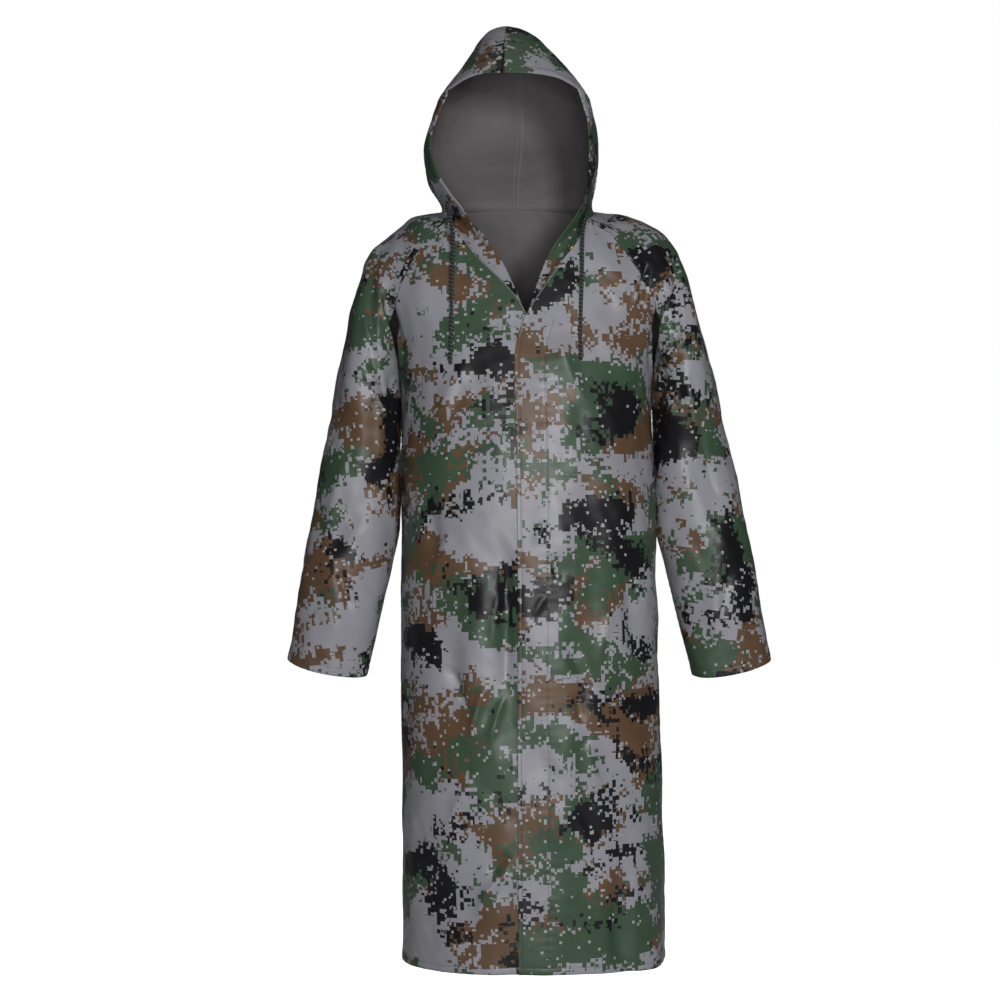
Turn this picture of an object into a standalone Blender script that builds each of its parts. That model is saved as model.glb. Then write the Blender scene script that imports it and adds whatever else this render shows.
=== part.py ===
"""Hooded long raincoat, filled out as if worn and open at the neck, hem and cuffs.

Frame: metres, +Z up, the wearer faces -Y and the wearer's left arm is at +X.
The origin lies where the coat is carried, level with the neck end of the shoulders.
Every panel is one cloth wall: an open surface with a Solidify modifier that
grows inwards, so the named sizes are the outer face's. Left and right are the wearer's.
"""
import math

import bmesh
import bpy
import numpy as np
from mathutils import Quaternion, Vector
from mathutils.bvhtree import BVHTree

COAT = "hooded_raincoat"

# Cloth and seams
WALL = 0.0012
SEAM_GAP = 0.0004
RAGLAN_GAP = 0.0009
NECK_GAP = 0.0011
HOOD_SEAM_GAP = 0.0012
LAP_LIFT = 0.0028

# Levels
HEM_Z = -1.175
HEM_SIDE_DROP = 0.009
HEM_DROP_REACH = 0.25
UNDERARM_Z = -0.300
BACK_NECK_RISE = 0.007

# Closure: where the lapping front's lift fades out, sideways and upwards
LAP_FULL_X, LAP_NONE_X = 0.034, 0.090
LAP_FULL_Z, LAP_NONE_Z = -0.120, -0.050

# Panel grids, in rows and columns
LOWER_ROWS, YOKE_ROWS, ARM_ROWS = 13, 11, 13
FRONT_COLUMNS, BACK_COLUMNS = 13, 21
SLEEVE_COLUMNS = 21
V_ROWS = 7
CHEEK_COLUMNS, NAPE_COLUMNS = 12, 11
HOOD_ROWS = 10
CROWN_ROWS, BROW_COLUMNS = 8, 6
DENSE = 160

# Cord and brass
CORD_DIAMETER = 0.006
EYELET_HOLE, EYELET_WIDTH, EYELET_HEIGHT = 0.0069, 0.0112, 0.0012
SNAP_WIDTH, SNAP_WELL, SNAP_HEIGHT = 0.0095, 0.0042, 0.0018
TRIM_CLEARANCE = 0.0003

# Horizontal sections of the body. Above the underarm the half width is that of the
# shoulder dome which the yoke is cut from, and below it that of the side seam.
BODY = (
    ("z", "half_width", "front_depth", "back_depth", "power"),
    (-1.180, 0.2095, 0.172, 0.165, 2.40),
    (-0.950, 0.2075, 0.170, 0.162, 2.40),
    (-0.700, 0.2045, 0.167, 0.158, 2.40),
    (-0.500, 0.2025, 0.164, 0.157, 2.40),
    (-0.380, 0.1995, 0.159, 0.157, 2.40),
    (-0.300, 0.1990, 0.153, 0.155, 2.40),
    (-0.250, 0.2045, 0.147, 0.152, 2.40),
    (-0.190, 0.2200, 0.136, 0.147, 2.35),
    (-0.140, 0.2450, 0.125, 0.141, 2.30),
    (-0.100, 0.2600, 0.114, 0.134, 2.25),
    (-0.054, 0.2440, 0.098, 0.120, 2.20),
    (-0.020, 0.2050, 0.080, 0.106, 2.20),
    (0.020, 0.1600, 0.060, 0.090, 2.20),
)

# Raglan seams, from the neck (station 0) to the underarm (station 6). The turn is
# the angle round the section from the side seam, in degrees.
RAGLAN = (
    ("station", "front_z", "front_turn", "back_z", "back_turn"),
    (0, -0.020, 60.4, 0.012, 62.0),
    (1, -0.054, 54.7, -0.030, 55.3),
    (2, -0.100, 49.5, -0.080, 52.1),
    (3, -0.140, 37.6, -0.130, 43.2),
    (4, -0.190, 22.3, -0.185, 27.9),
    (5, -0.250, 10.0, -0.245, 12.0),
    (6, -0.300, 0.0, -0.300, 0.0),
)

# Edges of the fronts, from the hem up the closure and on along the V to the neck point:
# of the front that lies under and of the one that laps over. x is counted from the
# centre front towards the front's own side.
FRONT_EDGE = (
    ("z", "under_x", "over_x"),
    (-1.185, -0.0250, -0.0250),
    (-0.600, -0.0215, -0.0215),
    (-0.276, -0.0200, -0.0195),
    (-0.245, -0.0187, -0.0175),
    (-0.217, -0.0160, -0.0125),
    (-0.194, -0.0110, -0.0045),
    (-0.173, -0.0036, 0.0050),
    (-0.154, 0.0056, 0.0166),
    (-0.134, 0.0203, 0.0310),
    (-0.113, 0.0392, 0.0460),
    (-0.085, 0.0650, 0.0680),
    (-0.063, 0.0810, 0.0860),
    (-0.040, 0.0975, 0.0990),
    (-0.020, 0.1080, 0.1080),
)

# Sleeve sections. Down to station 6 a section is an arch from the front raglan seam
# over the outer point to the back seam, and from there on a closed ring. The spread
# is half the angle that the arch takes up, in degrees.
SLEEVE = (
    ("station", "outer_x", "outer_z", "spread", "half_depth", "inner_x", "inner_z", "mid_y"),
    (0, 0.1200, 0.003, 55.0, 0.0940, 0.0965, -0.004, 0.007),
    (1, 0.1680, -0.006, 62.0, 0.0983, 0.1390, -0.042, 0.005),
    (2, 0.2030, -0.022, 72.0, 0.1017, 0.1720, -0.090, 0.007),
    (3, 0.2300, -0.044, 97.0, 0.0914, 0.1950, -0.135, 0.009),
    (4, 0.2510, -0.080, 129.0, 0.0875, 0.2030, -0.187, 0.008),
    (5, 0.2725, -0.145, 155.0, 0.0895, 0.2020, -0.247, 0.003),
    (6, 0.2985, -0.250, 180.0, 0.0900, 0.1998, -0.300, 0.002),
    (7, 0.3135, -0.325, 180.0, 0.0860, 0.2018, -0.365, 0.002),
    (8, 0.3285, -0.405, 180.0, 0.0790, 0.2030, -0.435, 0.001),
    (9, 0.3415, -0.474, 180.0, 0.0730, 0.2052, -0.500, -0.001),
    (10, 0.3560, -0.534, 180.0, 0.0670, 0.2165, -0.560, -0.004),
    (11, 0.3655, -0.600, 180.0, 0.0600, 0.2315, -0.625, -0.008),
    (12, 0.3755, -0.665, 180.0, 0.0520, 0.2475, -0.690, -0.011),
    (13, 0.3830, -0.711, 180.0, 0.0460, 0.2585, -0.735, -0.013),
)
UNDERARM_STATION, CUFF_STATION = 6, 13
CUFF_FRONT_DROP = 0.22

# Hood rows from just above the neckline to the brow: the face edge of the under and of
# the lapping side, the widest point and the centre-back seam. The way is the share of
# the face edge below the row.
HOOD = (
    ("way", "under_x", "over_x", "edge_y", "edge_z", "half_width", "wide_y", "wide_z", "back_y", "back_z"),
    (0.28, 0.0410, 0.0500, -0.100, -0.070, 0.1225, 0.002, 0.019, 0.094, 0.040),
    (0.41, 0.0730, 0.0820, -0.092, -0.027, 0.1280, 0.002, 0.034, 0.104, 0.062),
    (0.56, 0.1030, 0.1110, -0.084, 0.018, 0.1340, 0.004, 0.054, 0.118, 0.088),
    (0.76, 0.1260, 0.1230, -0.080, 0.095, 0.1390, 0.008, 0.108, 0.148, 0.150),
)

# Crown sections from the brow to the peak, each from the centre front over the
# widest point to the centre back. The brow's power and drop say how square it is
# and how late it falls towards the side.
CROWN = (
    ("rise", "front_y", "front_z", "half_width", "wide_y", "wide_z", "back_y", "back_z",
     "brow_power", "brow_drop"),
    (0.00, -0.110, 0.1995, 0.1215, 0.010, 0.173, 0.140, 0.232, 3.20, 5.0),
    (0.35, -0.085, 0.2370, 0.0925, 0.010, 0.216, 0.120, 0.262, 2.60, 3.5),
    (0.65, -0.054, 0.2690, 0.0640, 0.010, 0.254, 0.088, 0.284, 2.30, 2.6),
    (0.88, -0.020, 0.2930, 0.0370, 0.011, 0.287, 0.050, 0.297, 2.15, 2.2),
    (1.00, 0.012, 0.3020, 0.0000, 0.012, 0.302, 0.012, 0.302, 2.00, 2.0),
)
BROW_CORNER_X = 0.100
NAPE_POWER = 2.22

# The coat hangs a little out of true: how far the centre and the sides stand to +X.
LEAN = (
    ("z", "centre", "side"),
    (-1.180, 0.0060, 0.0060),
    (-0.950, 0.0040, 0.0040),
    (-0.740, 0.0010, -0.0010),
    (-0.500, 0.0000, -0.0035),
    (-0.300, -0.0050, -0.0065),
    (-0.170, -0.0120, -0.0085),
    (-0.086, -0.0160, -0.0092),
    (-0.035, -0.0180, -0.0045),
    (0.000, -0.0200, -0.0025),
    (0.020, -0.0240, -0.0240),
    (0.054, -0.0300, -0.0300),
    (0.100, -0.0305, -0.0305),
    (0.140, -0.0275, -0.0275),
    (0.200, -0.0265, -0.0265),
    (0.300, -0.0310, -0.0310),
)
LEAN_CENTRE_X, LEAN_SIDE_X = 0.140, 0.215

# Folds of the body. The bearing is the compass angle from the centre front, positive
# to +X, and a row runs from its top to its bottom bearing.
BODY_FOLDS = (
    ("top_z", "bottom_z", "top_bearing", "bottom_bearing", "width", "height"),
    (-0.480, -0.860, -14.0, -12.0, 0.026, -0.0060),
    (-0.560, -0.800, -24.0, -33.0, 0.022, 0.0050),
    (-0.640, -0.820, -44.0, -37.0, 0.020, -0.0050),
    (-0.940, -1.330, -15.0, -26.0, 0.028, 0.0050),
    (-0.420, -0.760, 33.0, 27.0, 0.026, -0.0035),
    (-0.740, -1.000, 19.0, 15.0, 0.022, 0.0045),
    (-0.860, -1.400, 42.0, 47.0, 0.026, -0.0060),
    (-0.900, -1.400, 54.0, 58.0, 0.026, 0.0050),
    (-0.880, -1.400, -50.0, -55.0, 0.028, -0.0050),
    (-0.700, -1.400, 112.0, 118.0, 0.034, -0.0070),
    (-0.620, -1.400, 140.0, 146.0, 0.036, 0.0070),
    (-0.520, -1.400, 172.0, 168.0, 0.034, -0.0070),
    (-0.600, -1.400, -158.0, -150.0, 0.036, 0.0070),
    (-0.700, -1.400, -128.0, -120.0, 0.034, -0.0070),
    (-0.180, -0.420, -152.0, -140.0, 0.030, 0.0040),
    (-0.180, -0.420, 152.0, 140.0, 0.030, 0.0040),
)

# Folds of a sleeve: from one station and way round (front seam -1, outer line 0,
# back seam 1) to another. The side tells which sleeve has it, 1 the left and -1 the right.
SLEEVE_FOLDS = (
    ("side", "top_station", "bottom_station", "top_round", "bottom_round", "width", "height"),
    (-1, 2.4, 6.4, -0.40, -0.62, 0.016, -0.0060),
    (-1, 3.0, 7.2, -0.22, -0.42, 0.018, 0.0050),
    (-1, 7.4, 10.6, -0.70, -0.28, 0.018, -0.0045),
    (-1, 9.2, 12.4, -0.30, -0.60, 0.016, 0.0035),
    (-1, 5.0, 9.0, 0.30, 0.60, 0.020, -0.0055),
    (-1, 8.0, 12.0, 0.60, 0.25, 0.018, 0.0040),
    (1, 2.2, 6.0, -0.46, -0.64, 0.016, -0.0065),
    (1, 3.0, 6.8, -0.26, -0.40, 0.018, 0.0050),
    (1, 6.6, 10.0, -0.62, -0.30, 0.018, -0.0045),
    (1, 8.8, 12.2, -0.34, -0.62, 0.016, 0.0035),
    (1, 5.2, 9.2, 0.34, 0.60, 0.020, -0.0055),
    (1, 8.2, 12.0, 0.56, 0.22, 0.018, 0.0040),
)

# Free ends of the drawcord, from the eyelet down over the chest, in the coat's own
# frame. They lie on the fronts and end in a plain cut.
CORDS = {
    "right": (
        (-0.1253, -0.0756, 0.0091),
        (-0.1289, -0.0771, 0.0066),
        (-0.1305, -0.0788, 0.0029),
        (-0.1310, -0.0812, -0.0018),
        (-0.1300, -0.0850, -0.0072),
        (-0.1279, -0.0899, -0.0144),
        (-0.1251, -0.0942, -0.0253),
        (-0.1225, -0.0985, -0.0405),
        (-0.1211, -0.1040, -0.0596),
        (-0.1208, -0.1098, -0.0809),
        (-0.1213, -0.1150, -0.1032),
        (-0.1220, -0.1195, -0.1268),
        (-0.1222, -0.1231, -0.1515),
        (-0.1221, -0.1263, -0.1773),
        (-0.1225, -0.1290, -0.2032),
        (-0.1232, -0.1316, -0.2301),
        (-0.1236, -0.1335, -0.2520),
    ),
    "left": (
        (0.0865, -0.0721, 0.0026),
        (0.0907, -0.0739, 0.0015),
        (0.0922, -0.0758, -0.0012),
        (0.0920, -0.0785, -0.0050),
        (0.0901, -0.0822, -0.0100),
        (0.0870, -0.0869, -0.0170),
        (0.0836, -0.0920, -0.0275),
        (0.0806, -0.0974, -0.0417),
        (0.0791, -0.1037, -0.0604),
        (0.0786, -0.1102, -0.0815),
        (0.0783, -0.1161, -0.1037),
        (0.0775, -0.1215, -0.1271),
        (0.0764, -0.1265, -0.1515),
        (0.0755, -0.1312, -0.1771),
        (0.0748, -0.1355, -0.2027),
        (0.0750, -0.1390, -0.2243),
        (0.0756, -0.1425, -0.2460),
    ),
}

# Points just outside the cloth that the brass sits on, in the coat's own frame.
EYELETS = {"right": (-0.1300, -0.0780, 0.0060), "left": (0.0900, -0.0740, 0.0020)}
SNAP = (0.0573, -0.1003, -0.0620)


# ---------------------------------------------------------------- tables and curves

def column(table, name):
    """One named column of a table as an array."""
    place = table[0].index(name)
    return np.array([row[place] for row in table[1:]], dtype=float)


def hermite(stations, values, slopes, at):
    """Cubic through the values at the stations with the slopes given there."""
    at = np.clip(np.asarray(at, dtype=float), stations[0], stations[-1])
    low = np.clip(np.searchsorted(stations, at, side="right") - 1, 0, len(stations) - 2)
    width = stations[low + 1] - stations[low]
    part = (at - stations[low]) / width
    shape = part.shape + (1,) * (values.ndim - 1)
    part, width = part.reshape(shape), width.reshape(shape)
    return (values[low] * (2 * part**3 - 3 * part**2 + 1)
            + slopes[low] * width * (part**3 - 2 * part**2 + part)
            + values[low + 1] * (3 * part**2 - 2 * part**3)
            + slopes[low + 1] * width * (part**3 - part**2))


def read(table, name, at):
    """A column read between its rows, on a smooth curve that never overshoots them."""
    stations, values = column(table, table[0][0]), column(table, name)
    steep = np.diff(values) / np.diff(stations)
    before, after = steep[:-1], steep[1:]
    same_way = before * after > 0
    total = np.where(same_way, before + after, 1.0)
    slopes = np.zeros_like(values)
    slopes[1:-1] = np.where(same_way, 2 * before * after / total, 0.0)
    slopes[0], slopes[-1] = steep[0], steep[-1]
    return hermite(stations, values, slopes, at)


def spline(stations, values, at):
    """Smooth curve through whole rows of points, one row for each station."""
    stations = np.asarray(stations, dtype=float)
    gaps = np.diff(stations).reshape((-1,) + (1,) * (values.ndim - 1))
    steep = np.diff(values, axis=0) / gaps
    slopes = np.empty_like(values)
    slopes[1:-1] = (steep[:-1] * gaps[1:] + steep[1:] * gaps[:-1]) / (gaps[:-1] + gaps[1:])
    slopes[0] = 1.5 * steep[0] - 0.5 * slopes[1]
    slopes[-1] = 1.5 * steep[-1] - 0.5 * slopes[-2]
    return hermite(stations, values, slopes, at)


def ease(low, high, value):
    """0 below low, 1 above high, and a smooth step between; low may be the larger."""
    part = np.clip((np.asarray(value, dtype=float) - low) / (high - low), 0.0, 1.0)
    return part * part * (3 - 2 * part)


def even_points(path, count, start=0.0, end=0.0):
    """The path's points at equal steps along it, less a bit at its start and end."""
    steps = np.linalg.norm(np.diff(path, axis=0), axis=1)
    along = np.concatenate(([0.0], np.cumsum(steps)))
    wanted = np.linspace(start, along[-1] - end, count)
    return np.stack([np.interp(wanted, along, path[:, axis]) for axis in range(3)], axis=1)


def unit(vectors):
    """Vectors at length one."""
    return vectors / np.maximum(np.linalg.norm(vectors, axis=-1, keepdims=True), 1e-9)


# ---------------------------------------------------------------- body

def section_points(turn, z, front):
    """Points of the body's sections: turn 0 at the side seam, 90 degrees at the centre."""
    width, power = read(BODY, "half_width", z), read(BODY, "power", z)
    depth = read(BODY, "front_depth" if front else "back_depth", z)
    across = np.sign(np.cos(turn)) * np.abs(np.cos(turn)) ** (2 / power) * width
    out = np.abs(np.sin(turn)) ** (2 / power) * depth
    return np.stack([across, -out if front else out, z + 0.0 * turn], axis=-1)


def turn_at(x, z):
    """The turn whose section point lies x from the centre."""
    share = np.clip(np.abs(x) / read(BODY, "half_width", z), 0.0, 1.0)
    turn = np.arccos(share ** (read(BODY, "power", z) / 2))
    return np.where(x < 0, math.pi - turn, turn)


def hem_drop(points):
    """The hem hangs a little lower at the side seams than at the centre."""
    side = np.clip(np.abs(points[..., 0]) / read(BODY, "half_width", HEM_Z), 0, 1) ** 2
    low = 1 - ease(HEM_Z, HEM_Z + HEM_DROP_REACH, points[..., 2])
    dropped = points.copy()
    dropped[..., 2] -= HEM_SIDE_DROP * side * low
    return dropped


def drape_body(points, side):
    """Pushes body points in or out along their bearing by the body's folds."""
    x, y, z = points[..., 0] * side, points[..., 1], points[..., 2]
    bearing = np.degrees(np.arctan2(x, -y))
    radius = np.hypot(x, y)
    push = np.zeros_like(z)
    names = BODY_FOLDS[0]
    for row in BODY_FOLDS[1:]:
        fold = dict(zip(names, row))
        top, bottom = fold["top_z"], fold["bottom_z"]
        way = (top - z) / (top - bottom)
        middle = fold["top_bearing"] + (fold["bottom_bearing"] - fold["top_bearing"]) * way
        turned = (bearing - middle + 180.0) % 360.0 - 180.0
        apart = np.radians(turned) * radius / fold["width"]
        push += fold["height"] * np.exp(-apart**2) * ease(0.0, 0.35, way) * ease(1.0, 0.7, way)
    outward = np.stack([points[..., 0] / radius, y / radius, np.zeros_like(z)], axis=-1)
    return points + outward * push[..., None]


def lap(points, lapping):
    """Lifts the lapping front, and its hood edge, off the front under it."""
    if not lapping:
        return points
    lift = (LAP_LIFT * ease(LAP_NONE_X, LAP_FULL_X, points[..., 0])
            * ease(LAP_NONE_Z, LAP_FULL_Z, points[..., 2]))
    lifted = points.copy()
    lifted[..., 1] -= lift
    return lifted


def front_row(z, columns, lapping, side):
    """One level of a front, from its closure edge to the side or raglan seam."""
    seam = read(RAGLAN_BY_FRONT_Z, "front_turn", z) if z > UNDERARM_Z else 0.0
    edge = read(FRONT_EDGE, "over_x" if lapping else "under_x", z)
    turns = np.linspace(turn_at(edge, z), math.radians(seam), DENSE)
    path = lap(section_points(turns, np.full(DENSE, z), True), lapping)
    gap = SEAM_GAP / 2 if z <= UNDERARM_Z else 0.0
    return drape_body(hem_drop(even_points(path, columns, 0.0, gap)), side)


def back_row(z, top_share, columns):
    """One level of the back, from seam to seam; its top rises to the neckline."""
    seam = math.radians(read(RAGLAN_BY_BACK_Z, "back_turn", z) if z > UNDERARM_Z else 0.0)
    turns = np.linspace(seam, math.pi - seam, DENSE)
    path = section_points(turns, np.full(DENSE, z), False)
    gap = SEAM_GAP / 2 if z <= UNDERARM_Z else 0.0
    row = even_points(path, columns, gap, gap)
    share = np.clip(np.abs(row[:, 0]) / np.abs(row[0, 0]), 0, 1)
    row[:, 2] += BACK_NECK_RISE * (1 - share**2) * top_share
    return drape_body(hem_drop(row), 1)


def body_levels(face):
    """Levels from the hem to the top; over the yoke they meet the sleeve's own rows."""
    lower = np.linspace(HEM_Z, UNDERARM_Z, LOWER_ROWS)
    stations = np.linspace(UNDERARM_STATION, 0, YOKE_ROWS)
    return np.concatenate((lower, read(RAGLAN, face + "_z", stations[1:])))


def front_grid(lapping, side):
    """Outer face of a front, in rows of points."""
    rows = [front_row(z, FRONT_COLUMNS, lapping, side) for z in body_levels("front")]
    rows[-1][:] = rows[-1][0]
    return np.array(rows)


def back_grid():
    """Outer face of the back, in rows of points."""
    top_z = column(RAGLAN, "back_z")[0]
    return np.array([back_row(z, ease(UNDERARM_Z, top_z, z), BACK_COLUMNS)
                     for z in body_levels("back")])


def by_level(table, level, other):
    """A table turned round, so that it is read by a level that falls along its rows."""
    levels, values = column(table, level)[::-1], column(table, other)[::-1]
    return ((level, other),) + tuple(zip(levels, values))


RAGLAN_BY_FRONT_Z = by_level(RAGLAN, "front_z", "front_turn")
RAGLAN_BY_BACK_Z = by_level(RAGLAN, "back_z", "back_turn")


# ---------------------------------------------------------------- sleeves

def sleeve_row(station, columns, side):
    """One section of a sleeve, from the front seam round the outer line to the back."""
    value = {name: read(SLEEVE, name, station) for name in SLEEVE[0][1:]}
    spread = math.radians(value["spread"])
    outer = np.array([value["outer_x"], value["outer_z"]])
    inner = np.array([value["inner_x"], value["inner_z"]])
    reach = (outer - inner) / (1 - math.cos(spread))
    turns = np.linspace(-spread, spread, DENSE)
    flat = inner + np.outer(np.cos(turns) - math.cos(spread), reach)
    path = np.stack([flat[:, 0], value["mid_y"] + value["half_depth"] * np.sin(turns), flat[:, 1]],
                    axis=1)
    if station < UNDERARM_STATION:
        path = meet_seams(path, station, unit(outer - inner))
    path[:, 2] += CUFF_FRONT_DROP * (path[:, 1] - value["mid_y"]) * ease(9.0, CUFF_STATION, station)
    row = even_points(path, columns)
    return drape_sleeve(row, station, unit(outer - inner), side)


def meet_seams(path, station, away):
    """Brings an arch's two ends to the raglan seams, a seam gap away from the body."""
    ends = []
    for face in ("front", "back"):
        turn = math.radians(read(RAGLAN, face + "_turn", station))
        seam = section_points(np.array([turn]), read(RAGLAN, face + "_z", station), face == "front")[0]
        ends.append(seam + RAGLAN_GAP * np.array([away[0], 0.0, away[1]]))
    round_way = np.linspace(-1, 1, len(path))[:, None]
    to_front = ((1 - round_way) / 2) ** 2
    to_back = ((1 + round_way) / 2) ** 2
    return path + (ends[0] - path[0]) * to_front + (ends[1] - path[-1]) * to_back


def drape_sleeve(row, station, away, side):
    """Pushes a section's points in or out by the sleeve's folds, none at its seams."""
    round_way = np.linspace(-1, 1, len(row))
    middle = (row.max(axis=0) + row.min(axis=0)) / 2
    outward = unit((row - middle) * np.array([1.0, 1.0, 0.3]))
    girth = np.linalg.norm(np.diff(row, axis=0), axis=1).sum()
    push = np.zeros(len(row))
    for line in SLEEVE_FOLDS[1:]:
        fold = dict(zip(SLEEVE_FOLDS[0], line))
        way = (station - fold["top_station"]) / (fold["bottom_station"] - fold["top_station"])
        if fold["side"] != side or not 0 < way < 1:
            continue
        centre = fold["top_round"] + (fold["bottom_round"] - fold["top_round"]) * way
        apart = (round_way - centre) * girth / 2 / fold["width"]
        push += fold["height"] * np.exp(-apart**2) * ease(0.0, 0.3, way) * ease(1.0, 0.7, way)
    push *= 1 - np.abs(round_way) ** 8
    return row + outward * push[:, None]


def sleeve_grid(side):
    """Outer face of a sleeve, in rows from the neckline to the cuff."""
    stations = np.concatenate((np.linspace(0, UNDERARM_STATION, YOKE_ROWS),
                               np.linspace(UNDERARM_STATION, CUFF_STATION, ARM_ROWS)[1:]))
    return np.array([sleeve_row(station, SLEEVE_COLUMNS, side) for station in stations])


# ---------------------------------------------------------------- hood

def neckline(lapping, side):
    """The seam from the bottom of the V over the shoulder to the centre back.

    It takes the V's points, then every second point of the sleeve and the back."""
    edge = [front_row(z, 2, lapping, side)[0] for z in body_levels("front")[-V_ROWS:]]
    shoulder = sleeve_row(0, SLEEVE_COLUMNS, side)[2::2]
    back_half = back_row(column(RAGLAN, "back_z")[0], 1.0, BACK_COLUMNS)[:BACK_COLUMNS // 2 + 1]
    return np.concatenate((edge, shoulder, back_half[2::2]))


def hood_row(row, lapping):
    """One level of the hood, from the face edge round the side to the centre back."""
    value = dict(zip(HOOD[0], row))
    edge_x = value["over_x" if lapping else "under_x"]
    back = np.linspace(0, math.pi / 2, DENSE)
    ahead = np.linspace(1, 0, DENSE)
    wide, wide_y, wide_z = value["half_width"], value["wide_y"], value["wide_z"]
    cheek = np.stack([wide - (wide - edge_x) * ahead**2.2,
                      wide_y + (value["edge_y"] - wide_y) * ahead,
                      wide_z + (value["edge_z"] - wide_z) * ahead**1.6], axis=1)
    nape = np.stack([wide * np.cos(back) ** (2 / NAPE_POWER),
                     wide_y + (value["back_y"] - wide_y) * np.sin(back) ** (2 / NAPE_POWER),
                     wide_z + (value["back_z"] - wide_z) * np.sin(back) ** 2], axis=1)
    return np.concatenate((even_points(cheek, CHEEK_COLUMNS), even_points(nape, NAPE_COLUMNS)[1:]))


def crown_row(rise):
    """One section of the crown as a dense path from the centre front to the back."""
    value = {name: read(CROWN, name, rise) for name in CROWN[0][1:]}
    turn = np.linspace(0, math.pi, 2 * DENSE)
    fore = turn < math.pi / 2
    power = 2 / np.where(fore, value["brow_power"], NAPE_POWER)
    across = value["half_width"] * np.sin(turn) ** power
    ahead = np.abs(np.cos(turn)) ** power
    y = value["wide_y"] + np.where(fore, value["front_y"] - value["wide_y"],
                                   value["back_y"] - value["wide_y"]) * ahead
    z = value["wide_z"] + np.where(fore, (value["front_z"] - value["wide_z"]) * ahead ** value["brow_drop"],
                                   (value["back_z"] - value["wide_z"]) * ahead**2)
    return np.stack([across, y, z], axis=1)


def crown_split(path):
    """Where a crown section passes the corner of the face opening."""
    limit = BROW_CORNER_X * path[:, 0].max() / column(CROWN, "half_width")[0]
    return int(np.argmax(path[:, 0] >= limit)) if path[:, 0].max() > 0 else len(path) // 3


def crown_grid():
    """Crown of one hood panel, from the brow to the peak: brow, cheek and nape in a row."""
    grid = []
    for rise in np.linspace(0, 1, CROWN_ROWS):
        path = crown_row(rise)
        split, wide = crown_split(path), len(path) // 2
        brow = even_points(path[:split + 1], BROW_COLUMNS)
        cheek = even_points(path[split:wide + 1], CHEEK_COLUMNS)
        nape = even_points(path[wide:], NAPE_COLUMNS)
        grid.append(np.concatenate((brow[:-1], cheek[:-1], nape)))
    return np.array(grid)


def hood_grids(lapping, side):
    """Outer face of one hood panel: the side from the neckline up, and the crown."""
    crown = crown_grid()
    brow = crown[0][BROW_COLUMNS - 1:]
    keys = np.array([neckline(lapping, side)] + [hood_row(row, lapping) for row in HOOD[1:]] + [brow])
    stations = [0.0] + list(column(HOOD, "way")) + [1.0]
    ways = np.linspace(0, 1, HOOD_ROWS)
    side_grid = spline(stations, keys, ways)
    along = unit(np.gradient(side_grid[0], axis=0))
    upward = side_grid[1] - side_grid[0]
    upward -= along * (upward * along).sum(axis=1, keepdims=True)
    side_grid[0] += NECK_GAP * unit(upward)
    for grid in (side_grid[:, CHEEK_COLUMNS:], crown):
        grid[..., 0] = np.maximum(grid[..., 0], HOOD_SEAM_GAP / 2)
    return side_grid, crown


# ---------------------------------------------------------------- placing and meshing

def place(points, side=1):
    """Puts points on their side of the coat and lets them lean with it."""
    placed = points.copy()
    placed[..., 0] *= side
    z, reach = placed[..., 2], np.abs(placed[..., 0])
    outer = ease(LEAN_CENTRE_X, LEAN_SIDE_X, reach)
    centre, edge = read(LEAN, "centre", z), read(LEAN, "side", z)
    placed[..., 0] += centre * (1 - outer) + edge * outer
    return placed


def cloth_material(name, colour, roughness, metallic=0.0):
    """A Principled material."""
    material = bpy.data.materials.new(name)
    material.use_nodes = True
    shader = material.node_tree.nodes["Principled BSDF"]
    shader.inputs["Base Color"].default_value = (*colour, 1.0)
    shader.inputs["Roughness"].default_value = roughness
    shader.inputs["Metallic"].default_value = metallic
    material.diffuse_color = (*colour, 1.0)
    return material


def add_object(name, data, material, collection):
    """Links an object with its material."""
    new = bpy.data.objects.new(name, data)
    collection.objects.link(new)
    data.materials.append(material)
    return new


def add_panel(name, grids, centre, material, collection):
    """One cloth panel: its outer face from rows of points, thickened inwards."""
    mesh_data = bmesh.new()
    for grid in grids:
        corners = [[mesh_data.verts.new(point) for point in row] for row in grid]
        for low, high in zip(corners, corners[1:]):
            for left in range(len(low) - 1):
                mesh_data.faces.new((low[left], low[left + 1], high[left + 1], high[left]))
    bmesh.ops.remove_doubles(mesh_data, verts=mesh_data.verts, dist=1e-6)
    bmesh.ops.recalc_face_normals(mesh_data, faces=mesh_data.faces)
    out = sum(face.normal.dot(face.calc_center_median() - Vector(centre)) * face.calc_area()
              for face in mesh_data.faces)
    if out < 0:
        bmesh.ops.reverse_faces(mesh_data, faces=mesh_data.faces)
    mesh = bpy.data.meshes.new(name)
    mesh_data.to_mesh(mesh)
    mesh_data.free()
    mesh.shade_smooth()
    panel = add_object(name, mesh, material, collection)
    wall = panel.modifiers.new("wall", "SOLIDIFY")
    wall.thickness = WALL
    wall.offset = -1.0
    return panel


def add_cord(name, route, material, collection):
    """One free cord end as a tube on a smooth curve through its route's points."""
    route = np.array(route)
    lengths = np.linalg.norm(np.diff(route, axis=0), axis=1)
    along = np.concatenate(([0.0], np.cumsum(lengths)))
    path = spline(along, route, np.linspace(0, along[-1], DENSE))
    count = round(along[-1] / CORD_DIAMETER) + 1
    points = even_points(path, count)
    curve = bpy.data.curves.new(name, "CURVE")
    curve.dimensions = "3D"
    curve.bevel_depth = CORD_DIAMETER / 2
    curve.bevel_resolution = 2
    curve.use_fill_caps = True
    line = curve.splines.new("POLY")
    line.points.add(len(points) - 1)
    for spot, point in zip(line.points, points):
        spot.co = (*point, 1.0)
    return add_object(name, curve, material, collection)


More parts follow.
